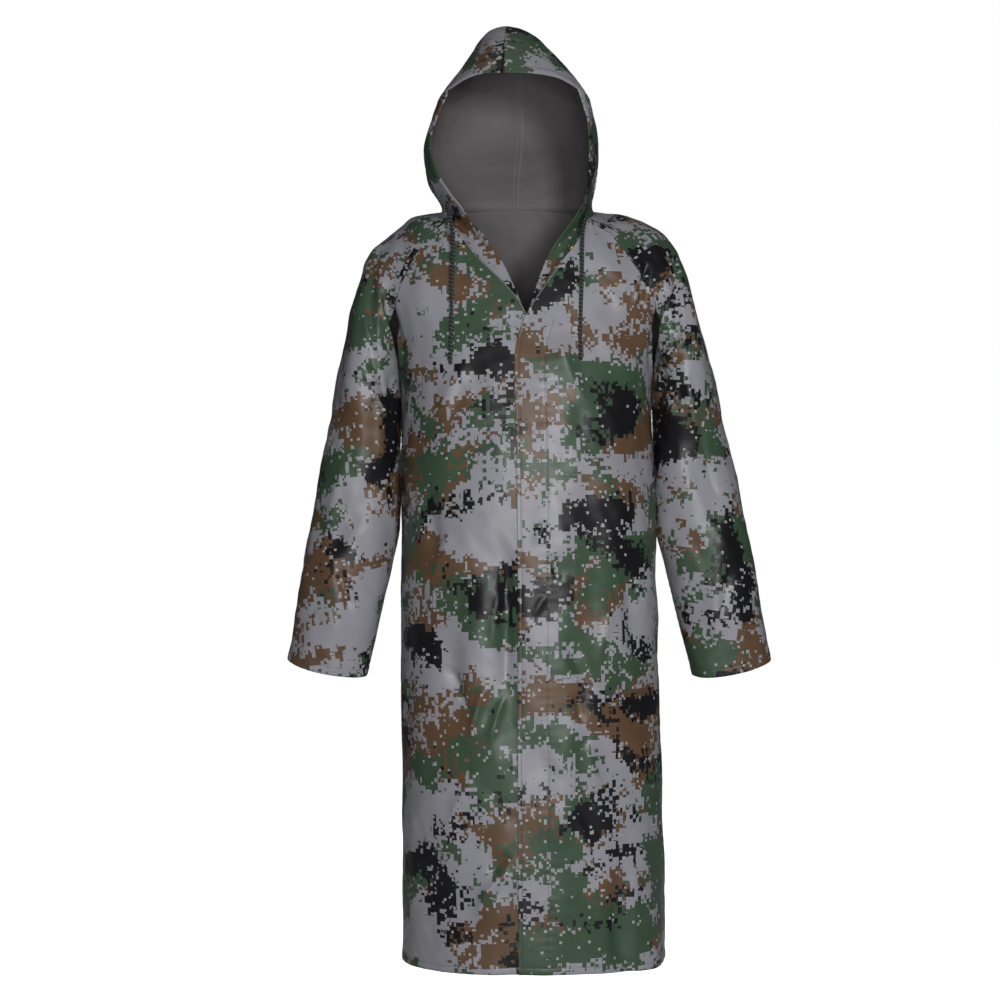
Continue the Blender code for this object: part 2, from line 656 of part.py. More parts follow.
def rest_on(panel, near, radius):
    """Where a disc of that radius rests on a panel's outer face, and its way out."""
    tree = BVHTree.FromObject(panel, bpy.context.evaluated_depsgraph_get())
    centre, facing, _, _ = tree.find_nearest(Vector(near))
    spokes = [Quaternion(facing, angle) @ facing.orthogonal().normalized() * radius
              for angle in np.linspace(0, 2 * math.pi, 32, endpoint=False)]
    rim = [tree.find_nearest(centre + spoke + facing * radius)[0] for spoke in spokes]
    out = sum(((one - centre).cross(two - centre) for one, two in zip(rim, rim[1:] + rim[:1])),
              Vector()).normalized()
    height = 0.0
    for spoke in spokes:
        for share in np.linspace(0.1, 1.1, 11):
            start = centre + (spoke - out * spoke.dot(out)) * share + out * radius
            hit = tree.ray_cast(start, -out)[0]
            if hit is not None:
                height = max(height, (hit - centre).dot(out))
    return centre + out * height, out


def add_turned(name, profile, spot, out, material, collection):
    """A turned brass piece on the cloth, its axis along the way out."""
    mesh = bpy.data.meshes.new(name)
    count = len(profile)
    mesh.from_pydata([(radius, 0.0, height) for radius, height in profile],
                     [(step, (step + 1) % count) for step in range(count)], [])
    piece = add_object(name, mesh, material, collection)
    turn = piece.modifiers.new("turn", "SCREW")
    turn.steps = turn.render_steps = 20
    turn.use_merge_vertices = True
    turn.merge_threshold = 0.00001
    turn.use_smooth_shade = True
    piece.location = spot + out * TRIM_CLEARANCE
    piece.rotation_euler = out.to_track_quat("Z", "X").to_euler()
    return piece


def eyelet_profile():
    """Half section of an eyelet's flange, rounded above and flat below."""
    inner, outer = EYELET_HOLE / 2, EYELET_WIDTH / 2
    middle, half = (inner + outer) / 2, (outer - inner) / 2
    arc = [(middle + half * math.cos(angle), EYELET_HEIGHT * (0.35 + 0.65 * math.sin(angle)))
           for angle in np.linspace(0, math.pi, 7)]
    return list(reversed(arc + [(inner, 0.0), (outer, 0.0)]))


def snap_profile():
    """Half section of a press-stud part: a rounded rim round a shallow well."""
    rim, well = SNAP_WIDTH / 2, SNAP_WELL / 2
    return [(well, SNAP_HEIGHT), (0.8 * rim, SNAP_HEIGHT), (rim, 0.6 * SNAP_HEIGHT), (rim, 0.0),
            (0.3 * well, 0.0), (0.3 * well, 0.45 * SNAP_HEIGHT), (well, 0.55 * SNAP_HEIGHT)]


def main():
    """Builds the coat."""
    for old in list(bpy.data.objects):
        bpy.data.objects.remove(old, do_unlink=True)
    collection = bpy.data.collections.new(COAT)
    bpy.context.scene.collection.children.link(collection)
    cloth = cloth_material("coated_cloth", (0.20, 0.23, 0.20), 0.45)
    braid = cloth_material("braided_cord", (0.015, 0.035, 0.030), 0.70)
    brass = cloth_material("brass", (0.72, 0.52, 0.22), 0.30, 1.0)

    body_centre, hood_centre = (0.0, 0.0, -0.6), (-0.03, 0.02, 0.12)
    add_panel("back", [place(back_grid())], body_centre, cloth, collection)
    for side, hand in ((-1, "right"), (1, "left")):
        lapping = side == 1
        add_panel("front_" + hand, [place(front_grid(lapping, side), side)], body_centre,
                  cloth, collection)
        sleeve = place(sleeve_grid(side), side)
        add_panel("sleeve_" + hand, [sleeve], tuple(sleeve.mean(axis=(0, 1))), cloth, collection)
        hood = [place(grid, side) for grid in hood_grids(lapping, side)]
        panel = add_panel("hood_" + hand, hood, hood_centre, cloth, collection)
        add_turned("eyelet_" + hand, eyelet_profile(),
                   *rest_on(panel, EYELETS[hand], EYELET_WIDTH / 2), brass, collection)
        add_cord("cord_" + hand, CORDS[hand], braid, collection)
    add_turned("neck_snap", snap_profile(), *rest_on(panel, SNAP, SNAP_WIDTH / 2), brass, collection)


main()
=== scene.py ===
"""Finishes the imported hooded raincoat: printed cloth, seams, cords, brass and a stage.

Frame: metres, +Z up, the wearer faces -Y and the wearer's left arm is at +X. Left and
right are the wearer's. Panels are grids of points: rows by columns by (x, y, z).
"""

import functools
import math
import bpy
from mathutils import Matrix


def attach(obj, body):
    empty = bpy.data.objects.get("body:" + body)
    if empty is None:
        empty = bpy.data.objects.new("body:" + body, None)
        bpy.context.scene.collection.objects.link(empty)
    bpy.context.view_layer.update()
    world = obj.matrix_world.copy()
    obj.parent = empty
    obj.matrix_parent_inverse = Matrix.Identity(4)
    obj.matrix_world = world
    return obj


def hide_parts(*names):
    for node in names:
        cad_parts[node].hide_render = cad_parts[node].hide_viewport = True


bl_info = {
    "name": "Hooded raincoat finish",
    "version": (1, 0, 0),
    "blender": (4, 5, 0),
    "location": "3D View > Sidebar > Raincoat",
    "description": "Cloth shells, print, stitching, cords and brass of a hooded raincoat",
    "category": "Object",
}

import bmesh
import bpy
import numpy as np
from bpy.props import FloatProperty, FloatVectorProperty, PointerProperty
from mathutils import Vector

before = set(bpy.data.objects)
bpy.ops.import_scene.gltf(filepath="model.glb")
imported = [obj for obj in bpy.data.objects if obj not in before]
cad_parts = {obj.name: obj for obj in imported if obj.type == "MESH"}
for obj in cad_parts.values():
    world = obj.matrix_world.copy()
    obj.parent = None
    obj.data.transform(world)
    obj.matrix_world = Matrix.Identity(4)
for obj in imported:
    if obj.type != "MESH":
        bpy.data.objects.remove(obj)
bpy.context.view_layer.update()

# ---------------------------------------------------------------- sizes of the cut

HEM_Z = -1.175
HEM_SIDE_DROP, HEM_DROP_REACH = 0.009, 0.25
UNDERARM_Z = -0.300
BACK_NECK_RISE = 0.007
LAP_LIFT = 0.0028
LAP_FULL_X, LAP_NONE_X = 0.034, 0.090
LAP_FULL_Z, LAP_NONE_Z = -0.120, -0.050
UNDERARM_STATION, CUFF_STATION = 6, 13
CUFF_FRONT_DROP, CUFF_DROP_STATION = 0.22, 9
BROW_CORNER_X = 0.100
NAPE_POWER = 2.22
CHEEK_IN_POWER, CHEEK_DROP_POWER = 2.2, 1.6
LEAN_CENTRE_X, LEAN_SIDE_X = 0.140, 0.215
BODY_FOLD_TOP, SLEEVE_FOLD_TOP, FOLD_FOOT = 0.35, 0.30, 0.70

# The neckline seam takes in the V, the top of the sleeve and half the back; a place on
# it is counted in these steps, the last of them at the centre back.
V_STEPS, SHOULDER_STEPS, NAPE_STEPS = 6, 10, 5
V_STATION = 3.6
CHEEK_STEPS = 11
HOOD_STEPS = V_STEPS + SHOULDER_STEPS + NAPE_STEPS

# How finely the panels are cut: points of a section before they are evened out, steps in
# metres (of the sleeves in stations), and numbers of rows and columns. The hood's rows and
# columns are finer from the start to a place, then even to the end.
DENSE = 160
BODY_STEP, FRONT_STEP, SLEEVE_STEP = 0.0036, 0.0046, 0.056
YOKE_ROWS, CROWN_ROWS = 81, 46
BACK_COLUMNS, SLEEVE_COLUMNS, BROW_COLUMNS = 123, 113, 27
HOOD_ROWS = {"fine_to": 0.06, "end": 1, "fine_count": 7, "count": 86}
HOOD_COLUMNS = {"fine_to": 3, "end": HOOD_STEPS, "fine_count": 26, "count": 66}

# Rows laid beside a sewn line, counted in the step there, and how near to it the even
# rows may come.
LINE_STEP, LINE_ROWS, LINE_CLEAR = 0.0009, (-2.4, -1.0, 0.0, 1.0, 2.4), 3.2

# Horizontal sections of the body. Above the underarm the half width is that of the
# shoulder dome which the yoke is cut from, and below it that of the side seam.
BODY = (
    ("z", "half_width", "front_depth", "back_depth", "power"),
    (-1.180, 0.2095, 0.172, 0.165, 2.40),
    (-0.950, 0.2075, 0.170, 0.162, 2.40),
    (-0.700, 0.2045, 0.167, 0.158, 2.40),
    (-0.500, 0.2025, 0.164, 0.157, 2.40),
    (-0.380, 0.1995, 0.159, 0.157, 2.40),
    (-0.300, 0.1990, 0.153, 0.155, 2.40),
    (-0.250, 0.2045, 0.147, 0.152, 2.40),
    (-0.190, 0.2200, 0.136, 0.147, 2.35),
    (-0.140, 0.2450, 0.125, 0.141, 2.30),
    (-0.100, 0.2600, 0.114, 0.134, 2.25),
    (-0.054, 0.2440, 0.098, 0.120, 2.20),
    (-0.020, 0.2050, 0.080, 0.106, 2.20),
    (0.020, 0.1600, 0.060, 0.090, 2.20),
)

# Raglan seams, from the neck (station 0) to the underarm (station 6). The turn is
# the angle round the section from the side seam, in degrees.
RAGLAN = (
    ("station", "front_z", "front_turn", "back_z", "back_turn"),
    (0, -0.020, 60.4, 0.012, 62.0),
    (1, -0.054, 54.7, -0.030, 55.3),
    (2, -0.100, 49.5, -0.080, 52.1),
    (3, -0.140, 37.6, -0.130, 43.2),
    (4, -0.190, 22.3, -0.185, 27.9),
    (5, -0.250, 10.0, -0.245, 12.0),
    (6, -0.300, 0.0, -0.300, 0.0),
)

# Edges of the fronts, from the hem up the closure and on along the V to the neck point:
# of the front that lies under and of the one that laps over. x is counted from the
# centre front towards the front's own side.
FRONT_EDGE = (
    ("z", "under_x", "over_x"),
    (-1.185, -0.0250, -0.0250),
    (-0.600, -0.0215, -0.0215),
    (-0.276, -0.0200, -0.0195),
    (-0.245, -0.0187, -0.0175),
    (-0.217, -0.0160, -0.0125),
    (-0.194, -0.0110, -0.0045),
    (-0.173, -0.0036, 0.0050),
    (-0.154, 0.0056, 0.0166),
    (-0.134, 0.0203, 0.0310),
    (-0.113, 0.0392, 0.0460),
    (-0.085, 0.0650, 0.0680),
    (-0.063, 0.0810, 0.0860),
    (-0.040, 0.0975, 0.0990),
    (-0.020, 0.1080, 0.1080),
)

# Sleeve sections. Down to station 6 a section is an arch from the front raglan seam
# over the outer point to the back seam, and from there on a closed ring. The spread
# is half the angle that the arch takes up, in degrees.
SLEEVE = (
    ("station", "outer_x", "outer_z", "spread", "half_depth", "inner_x", "inner_z", "mid_y"),
    (0, 0.1200, 0.003, 55.0, 0.0940, 0.0965, -0.004, 0.007),
    (1, 0.1680, -0.006, 62.0, 0.0983, 0.1390, -0.042, 0.005),
    (2, 0.2030, -0.022, 72.0, 0.1017, 0.1720, -0.090, 0.007),
    (3, 0.2300, -0.044, 97.0, 0.0914, 0.1950, -0.135, 0.009),
    (4, 0.2510, -0.080, 129.0, 0.0875, 0.2030, -0.187, 0.008),
    (5, 0.2725, -0.145, 155.0, 0.0895, 0.2020, -0.247, 0.003),
    (6, 0.2985, -0.250, 180.0, 0.0900, 0.1998, -0.300, 0.002),
    (7, 0.3135, -0.325, 180.0, 0.0860, 0.2010, -0.365, 0.002),
    (8, 0.3285, -0.405, 180.0, 0.0790, 0.2019, -0.435, 0.001),
    (9, 0.3415, -0.474, 180.0, 0.0730, 0.2036, -0.500, -0.001),
    (10, 0.3560, -0.534, 180.0, 0.0670, 0.2165, -0.560, -0.004),
    (11, 0.3655, -0.600, 180.0, 0.0600, 0.2315, -0.625, -0.008),
    (12, 0.3755, -0.665, 180.0, 0.0520, 0.2475, -0.690, -0.011),
    (13, 0.3830, -0.711, 180.0, 0.0460, 0.2585, -0.735, -0.013),
)

# Hood rows from just above the neckline to the brow: the face edge of the under and of
# the lapping side, the widest point and the centre-back seam. The way is the share of
# the face edge below the row.
HOOD = (
    ("way", "under_x", "over_x", "edge_y", "edge_z", "half_width", "wide_y", "wide_z",
     "back_y", "back_z"),
    (0.28, 0.0410, 0.0500, -0.100, -0.070, 0.1225, 0.002, 0.019, 0.094, 0.040),
    (0.41, 0.0730, 0.0820, -0.092, -0.027, 0.1280, 0.002, 0.034, 0.104, 0.062),
    (0.56, 0.1030, 0.1110, -0.084, 0.018, 0.1340, 0.004, 0.054, 0.118, 0.088),
    (0.76, 0.1260, 0.1230, -0.080, 0.095, 0.1390, 0.008, 0.108, 0.148, 0.150),
)

# Crown sections from the brow to the peak, each from the centre front over the
# widest point to the centre back. The brow's power and drop say how square it is
# and how late it falls towards the side.
CROWN = (
    ("rise", "front_y", "front_z", "half_width", "wide_y", "wide_z", "back_y", "back_z",
     "brow_power", "brow_drop"),
    (0.00, -0.110, 0.1995, 0.1215, 0.010, 0.173, 0.140, 0.232, 3.20, 5.0),
    (0.35, -0.085, 0.2370, 0.0925, 0.010, 0.216, 0.120, 0.262, 2.60, 3.5),
    (0.65, -0.054, 0.2690, 0.0640, 0.010, 0.254, 0.088, 0.284, 2.30, 2.6),
    (0.88, -0.020, 0.2930, 0.0370, 0.011, 0.287, 0.050, 0.297, 2.15, 2.2),
    (1.00, 0.012, 0.3020, 0.0000, 0.012, 0.302, 0.012, 0.302, 2.00, 2.0),
)

# The coat hangs a little out of true: how far the centre and the sides stand to +X.
LEAN = (
    ("z", "centre", "side"),
    (-1.180, 0.0060, 0.0060),
    (-0.950, 0.0040, 0.0040),
    (-0.740, 0.0010, -0.0010),
    (-0.500, 0.0000, -0.0035),
    (-0.300, -0.0050, -0.0065),
    (-0.170, -0.0120, -0.0085),
    (-0.086, -0.0160, -0.0092),
    (-0.035, -0.0180, -0.0045),
    (0.000, -0.0200, -0.0025),
    (0.020, -0.0240, -0.0240),
    (0.054, -0.0300, -0.0300),
    (0.100, -0.0305, -0.0305),
    (0.140, -0.0275, -0.0275),
    (0.200, -0.0265, -0.0265),
    (0.300, -0.0310, -0.0310),
)

# Large folds of the body. The bearing is the compass angle from the centre front,
# positive to +X, and a row runs from its top to its bottom bearing.
BODY_FOLDS = (
    ("top_z", "bottom_z", "top_bearing", "bottom_bearing", "width", "height"),
    (-0.480, -0.860, -14.0, -12.0, 0.026, -0.0060),
    (-0.560, -0.800, -24.0, -33.0, 0.022, 0.0050),
    (-0.640, -0.820, -44.0, -37.0, 0.020, -0.0050),
    (-0.940, -1.330, -15.0, -26.0, 0.028, 0.0050),
    (-0.420, -0.760, 33.0, 27.0, 0.026, -0.0035),
    (-0.740, -1.000, 19.0, 15.0, 0.022, 0.0045),
    (-0.860, -1.400, 42.0, 47.0, 0.026, -0.0060),
    (-0.900, -1.400, 54.0, 58.0, 0.026, 0.0050),
    (-0.880, -1.400, -50.0, -55.0, 0.028, -0.0050),
    (-0.700, -1.400, 112.0, 118.0, 0.034, -0.0070),
    (-0.620, -1.400, 140.0, 146.0, 0.036, 0.0070),
    (-0.520, -1.400, 172.0, 168.0, 0.034, -0.0070),
    (-0.600, -1.400, -158.0, -150.0, 0.036, 0.0070),
    (-0.700, -1.400, -128.0, -120.0, 0.034, -0.0070),
    (-0.180, -0.420, -152.0, -140.0, 0.030, 0.0040),
    (-0.180, -0.420, 152.0, 140.0, 0.030, 0.0040),
)

# Large folds of a sleeve: from one station and way round (front seam -1, outer line 0,
# back seam 1) to another. The side tells which sleeve has it, 1 the left and -1 the right.
SLEEVE_FOLDS = (
    ("side", "top_station", "bottom_station", "top_round", "bottom_round", "width", "height"),
    (-1, 2.4, 6.4, -0.40, -0.62, 0.016, -0.0060),
    (-1, 3.0, 7.2, -0.22, -0.42, 0.018, 0.0050),
    (-1, 7.4, 10.6, -0.70, -0.28, 0.018, -0.0045),
    (-1, 9.2, 12.4, -0.30, -0.60, 0.016, 0.0035),
    (-1, 5.0, 9.0, 0.30, 0.60, 0.020, -0.0055),
    (-1, 8.0, 12.0, 0.60, 0.25, 0.018, 0.0040),
    (1, 2.2, 6.0, -0.46, -0.64, 0.016, -0.0065),
    (1, 3.0, 6.8, -0.26, -0.40, 0.018, 0.0050),
    (1, 6.6, 10.0, -0.62, -0.30, 0.018, -0.0045),
    (1, 8.8, 12.2, -0.34, -0.62, 0.016, 0.0035),
    (1, 5.2, 9.2, 0.34, 0.60, 0.020, -0.0055),
    (1, 8.2, 12.0, 0.56, 0.22, 0.018, 0.0040),
)

# Creases laid over the large folds, seen from the front (face -1) or the back (face 1):
# from one place to another, how far the middle bows, half the width, the height out of
# the cloth and how keen the ridge is, from 0 for round to 1 for sharp.
CREASES = (
    ("face", "x0", "z0", "x1", "z1", "bow", "width", "height", "keen"),
    (-1, 0.183, -0.082, 0.171, -0.172, 0.002, 0.0055, -0.0034, 0.6),
    (-1, 0.172, -0.090, 0.160, -0.165, 0.002, 0.0050, 0.0012, 0.8),
    (-1, 0.024, -0.487, 0.006, -0.533, 0.003, 0.0050, 0.0018, 1.0),
    (-1, 0.024, -0.540, 0.042, -0.588, -0.003, 0.0055, -0.0018, 0.8),
    (-1, 0.022, -0.602, 0.004, -0.638, 0.002, 0.0045, 0.0013, 1.0),
    (-1, 0.058, -0.918, 0.088, -1.012, -0.005, 0.0080, 0.0014, 0.7),
    (-1, 0.128, -0.620, 0.104, -0.708, 0.004, 0.0070, 0.0012, 0.8),
    (-1, 0.073, -0.742, 0.078, -0.802, 0.003, 0.0080, -0.0022, 0.4),
    (-1, 0.088, -0.812, 0.103, -0.910, 0.005, 0.0110, 0.0020, 0.3),
    (-1, 0.161, -1.005, 0.163, -1.180, 0.004, 0.0110, 0.0020, 0.4),
    (-1, 0.122, -1.030, 0.132, -1.180, -0.004, 0.0130, -0.0024, 0.2),
    (-1, 0.143, -0.545, 0.160, -0.725, -0.006, 0.0130, -0.0026, 0.2),
    (-1, 0.052, -0.668, 0.103, -0.760, 0.006, 0.0090, -0.0016, 0.4),
    (-1, 0.040, -0.200, 0.100, -0.336, 0.010, 0.0120, 0.0016, 0.2),
    (-1, -0.034, -0.525, -0.037, -0.768, 0.003, 0.0095, -0.0036, 0.3),
    (-1, -0.044, -0.588, -0.060, -0.690, 0.004, 0.0060, 0.0019, 0.9),
    (-1, -0.066, -0.732, -0.092, -0.826, 0.004, 0.0070, 0.0028, 0.9),
    (-1, -0.038, -0.748, -0.064, -0.834, 0.003, 0.0050, 0.0021, 1.0),
    (-1, -0.131, -0.706, -0.100, -0.790, -0.003, 0.0060, -0.0032, 0.8),
    (-1, -0.120, -0.746, -0.097, -0.796, -0.002, 0.0040, 0.0019, 1.0),
    (-1, -0.020, -0.560, -0.046, -0.664, 0.003, 0.0060, 0.0014, 0.9),
    (-1, -0.078, -0.868, -0.128, -0.962, 0.006, 0.0080, 0.0014, 0.8),
    (-1, -0.120, -0.500, -0.150, -0.592, 0.005, 0.0090, 0.0013, 0.6),
    (-1, -0.032, -1.016, -0.084, -1.084, 0.005, 0.0070, 0.0025, 0.8),
    (-1, -0.034, -0.990, -0.064, -1.034, 0.003, 0.0080, -0.0022, 0.4),
    (-1, -0.094, -0.240, -0.138, -0.350, 0.008, 0.0110, 0.0016, 0.2),
    (-1, -0.160, -0.420, -0.140, -0.560, 0.005, 0.0120, -0.0020, 0.2),
    (-1, -0.258, -0.164, -0.252, -0.208, 0.002, 0.0045, 0.0018, 1.0),
    (-1, -0.234, -0.122, -0.200, -0.280, -0.006, 0.0060, -0.0034, 0.7),
    (-1, -0.246, -0.122, -0.212, -0.240, -0.006, 0.0045, 0.0018, 1.0),
    (-1, -0.260, -0.188, -0.203, -0.246, 0.007, 0.0050, 0.0030, 1.0),
    (-1, -0.214, -0.252, -0.203, -0.320, 0.003, 0.0080, -0.0026, 0.4),
    (-1, -0.242, -0.282, -0.226, -0.336, 0.002, 0.0050, 0.0016, 0.9),
    (-1, -0.222, -0.276, -0.234, -0.344, 0.002, 0.0050, 0.0014, 0.9),
    (-1, -0.232, -0.290, -0.232, -0.418, 0.004, 0.0075, 0.0020, 0.6),
    (-1, -0.262, -0.230, -0.222, -0.300, -0.005, 0.0070, -0.0020, 0.5),
    (-1, 0.210, -0.132, 0.191, -0.285, 0.006, 0.0060, -0.0034, 0.7),
    (-1, 0.221, -0.128, 0.203, -0.245, 0.006, 0.0045, 0.0018, 1.0),
    (-1, 0.249, -0.190, 0.195, -0.244, -0.007, 0.0050, 0.0030, 1.0),
    (-1, 0.206, -0.250, 0.194, -0.318, -0.003, 0.0080, -0.0026, 0.4),
    (-1, 0.228, -0.280, 0.214, -0.334, -0.002, 0.0050, 0.0015, 0.9),
    (-1, 0.210, -0.278, 0.222, -0.342, -0.002, 0.0050, 0.0013, 0.9),
    (-1, 0.206, -0.060, 0.232, -0.088, 0.002, 0.0045, 0.0016, 1.0),
    (-1, 0.232, -0.062, 0.218, -0.100, 0.002, 0.0045, 0.0014, 1.0),
    (-1, 0.236, -0.250, 0.256, -0.372, -0.004, 0.0075, 0.0020, 0.6),
    (-1, 0.262, -0.330, 0.300, -0.470, 0.005, 0.0085, -0.0020, 0.4),
    (-1, -0.290, -0.400, -0.316, -0.520, 0.005, 0.0085, 0.0017, 0.5),
    (-1, -0.300, -0.560, -0.276, -0.640, 0.003, 0.0070, -0.0018, 0.5),
    (-1, 0.316, -0.560, 0.300, -0.648, 0.003, 0.0070, -0.0018, 0.5),
    (1, 0.030, -0.110, 0.085, -0.300, 0.010, 0.0110, 0.0024, 0.4),
    (1, -0.060, -0.120, -0.110, -0.330, -0.010, 0.0110, 0.0022, 0.4),
    (1, 0.150, -0.330, 0.110, -0.500, 0.010, 0.0120, -0.0026, 0.3),
    (1, -0.150, -0.340, -0.120, -0.470, 0.008, 0.0110, -0.0024, 0.3),
    (1, 0.010, -0.420, -0.020, -0.640, 0.008, 0.0130, 0.0024, 0.3),
    (1, 0.070, -0.560, 0.095, -0.760, 0.008, 0.0110, -0.0026, 0.5),
    (1, -0.090, -0.600, -0.060, -0.800, 0.008, 0.0090, 0.0024, 0.7),
    (1, 0.130, -0.720, 0.150, -0.960, 0.008, 0.0120, 0.0024, 0.3),
    (1, -0.020, -0.820, 0.020, -1.020, 0.010, 0.0120, -0.0024, 0.3),
    (1, -0.150, -0.800, -0.160, -1.060, 0.006, 0.0130, -0.0026, 0.3),
    (1, 0.060, -0.960, 0.072, -1.180, 0.006, 0.0120, 0.0022, 0.3),
    (1, -0.080, -0.960, -0.088, -1.180, 0.006, 0.0120, 0.0022, 0.3),
    (1, 0.245, -0.240, 0.262, -0.380, 0.006, 0.0080, 0.0022, 0.7),
    (1, -0.250, -0.250, -0.275, -0.390, 0.006, 0.0080, 0.0022, 0.7),
    (1, 0.300, -0.440, 0.285, -0.560, 0.006, 0.0080, -0.0020, 0.5),
    (1, -0.300, -0.450, -0.295, -0.580, 0.006, 0.0080, -0.0020, 0.5),
)

# Free ends of the drawcord, from the eyelet down over the chest. They lie on the
# fronts, and their bare ends are rounded off.
CORDS = {
    "right": (
        (-0.1253, -0.0756, 0.0091), (-0.1289, -0.0771, 0.0066), (-0.1305, -0.0788, 0.0029),
        (-0.1310, -0.0812, -0.0018), (-0.1300, -0.0850, -0.0072), (-0.1279, -0.0899, -0.0144),
        (-0.1251, -0.0942, -0.0253), (-0.1225, -0.0985, -0.0405), (-0.1211, -0.1040, -0.0596),
        (-0.1208, -0.1098, -0.0809), (-0.1213, -0.1150, -0.1032), (-0.1220, -0.1195, -0.1268),
        (-0.1222, -0.1231, -0.1515), (-0.1221, -0.1263, -0.1773), (-0.1225, -0.1290, -0.2032),
        (-0.1232, -0.1316, -0.2301), (-0.1236, -0.1335, -0.2520),
    ),
    "left": (
        (0.0865, -0.0721, 0.0026), (0.0907, -0.0739, 0.0015), (0.0922, -0.0758, -0.0012),
        (0.0920, -0.0785, -0.0050), (0.0901, -0.0822, -0.0100), (0.0870, -0.0869, -0.0170),
        (0.0836, -0.0920, -0.0275), (0.0806, -0.0974, -0.0417), (0.0791, -0.1037, -0.0604),
        (0.0786, -0.1102, -0.0815), (0.0783, -0.1161, -0.1037), (0.0775, -0.1215, -0.1271),
        (0.0764, -0.1265, -0.1515), (0.0755, -0.1312, -0.1771), (0.0748, -0.1355, -0.2027),
        (0.0750, -0.1390, -0.2243), (0.0756, -0.1425, -0.2460),
    ),
}

# Brass: where each piece sits and its way out of the cloth.
BRASS = {
    "eyelet_right": ((-0.1248, -0.0754, 0.0094), (-0.781, -0.320, -0.536)),
    "eyelet_left": ((0.0860, -0.0719, 0.0027), (0.901, -0.371, -0.226)),
    "neck_snap": ((0.0610, -0.0957, -0.0670), (-0.445, -0.621, 0.645)),
}


# ---------------------------------------------------------------- tables and curves

def column(table, name):
    """One named column of a table as an array."""
    place = table[0].index(name)
    return np.array([row[place] for row in table[1:]], dtype=float)


def rows_of(table):
    """The rows of a table, each as its named values."""
    return [dict(zip(table[0], row)) for row in table[1:]]


def named_row(table, name):
    """The row of a table that begins with this name."""
    return next(row for row in rows_of(table) if row[table[0][0]] == name)


def hermite(stations, values, slopes, at):
    """Cubic through the values at the stations with the slopes given there."""
    at = np.clip(np.asarray(at, dtype=float), stations[0], stations[-1])
    low = np.clip(np.searchsorted(stations, at, side="right") - 1, 0, len(stations) - 2)
    width = stations[low + 1] - stations[low]
    part = (at - stations[low]) / width
    shape = part.shape + (1,) * (values.ndim - 1)
    part, width = part.reshape(shape), width.reshape(shape)
    return (values[low] * (2 * part**3 - 3 * part**2 + 1)
            + slopes[low] * width * (part**3 - 2 * part**2 + part)
            + values[low + 1] * (3 * part**2 - 2 * part**3)
            + slopes[low + 1] * width * (part**3 - part**2))


def read(table, name, at):
    """A column read between its rows, on a smooth curve that never overshoots them."""
    stations, values = column(table, table[0][0]), column(table, name)
    steep = np.diff(values) / np.diff(stations)
    before, after = steep[:-1], steep[1:]
    same_way = before * after > 0
    total = np.where(same_way, before + after, 1.0)
    slopes = np.zeros_like(values)
    slopes[1:-1] = np.where(same_way, 2 * before * after / total, 0.0)
    slopes[0], slopes[-1] = steep[0], steep[-1]
    return hermite(stations, values, slopes, at)


def spline(stations, values, at):
    """Smooth curve through whole rows of points, one row for each station."""
    stations = np.asarray(stations, dtype=float)
    gaps = np.diff(stations).reshape((-1,) + (1,) * (values.ndim - 1))
    steep = np.diff(values, axis=0) / gaps
    slopes = np.empty_like(values)
    slopes[1:-1] = (steep[:-1] * gaps[1:] + steep[1:] * gaps[:-1]) / (gaps[:-1] + gaps[1:])
    slopes[0] = 1.5 * steep[0] - 0.5 * slopes[1]
    slopes[-1] = 1.5 * steep[-1] - 0.5 * slopes[-2]
    return hermite(stations, values, slopes, at)


def by_level(table, level, other):
    """A table turned round, so that it is read by a level that falls along its rows."""
    levels, values = column(table, level)[::-1], column(table, other)[::-1]
    return ((level, other),) + tuple(zip(levels, values))


def ease(low, high, value):
    """0 below low, 1 above high, and a smooth step between; low may be the larger."""
    part = np.clip((np.asarray(value, dtype=float) - low) / (high - low), 0.0, 1.0)
    return part * part * (3 - 2 * part)


def hump(middle, width, value):
    """A round ridge of height one: the bell curve of the way from its middle."""
    return np.exp(-((value - middle) / width) ** 2)


def unit(vectors):
    """Vectors at length one."""
    return vectors / np.maximum(np.linalg.norm(vectors, axis=-1, keepdims=True), 1e-12)


def at_shares(paths, shares, carried=None):
    """Points at shares of each path's length: each is found between the two path points
    that its distance falls between. Values carried by the path points may be read so too."""
    steps = np.linalg.norm(np.diff(paths, axis=1), axis=2)
    along = np.concatenate((np.zeros((len(paths), 1)), np.cumsum(steps, axis=1)), axis=1)
    wanted = shares * along[:, -1:]
    passed = (along[:, None, :] <= wanted[:, :, None]).sum(axis=2)
    low = np.clip(passed - 1, 0, paths.shape[1] - 2)
    start = np.take_along_axis(along, low, axis=1)
    width = np.take_along_axis(along, low + 1, axis=1) - start
    part = ((wanted - start) / np.maximum(width, 1e-12))[..., None]
    values = paths if carried is None else carried
    before = np.take_along_axis(values, low[..., None], axis=1)
    after = np.take_along_axis(values, low[..., None] + 1, axis=1)
    return before + (after - before) * part


def lengths(paths):
    """Length of each path."""
    return np.linalg.norm(np.diff(paths, axis=1), axis=2).sum(axis=1)


def along_line(line):
    """Distance along a line of points at each of them."""
    steps = np.linalg.norm(np.diff(line, axis=0), axis=1)
    return np.concatenate(([0.0], np.cumsum(steps)))


def steps_with_lines(total, step, lines, tight=LINE_STEP):
    """Distances from 0 to total at even steps, drawn closer round each sewn line."""
    even = np.linspace(0, total, round(total / step) + 1)
    for line in lines:
        inner = np.abs(even - line) > LINE_CLEAR * tight
        inner[0] = inner[-1] = True
        even = np.concatenate((even[inner], line + tight * np.array(LINE_ROWS)))
    return np.sort(even)


def finer_at_start(fine_to, end, fine_count, count):
    """Numbers from 0 to the end: close together up to a place, then even."""
    return np.concatenate((np.linspace(0, fine_to, fine_count)[:-1],
                           np.linspace(fine_to, end, count)))


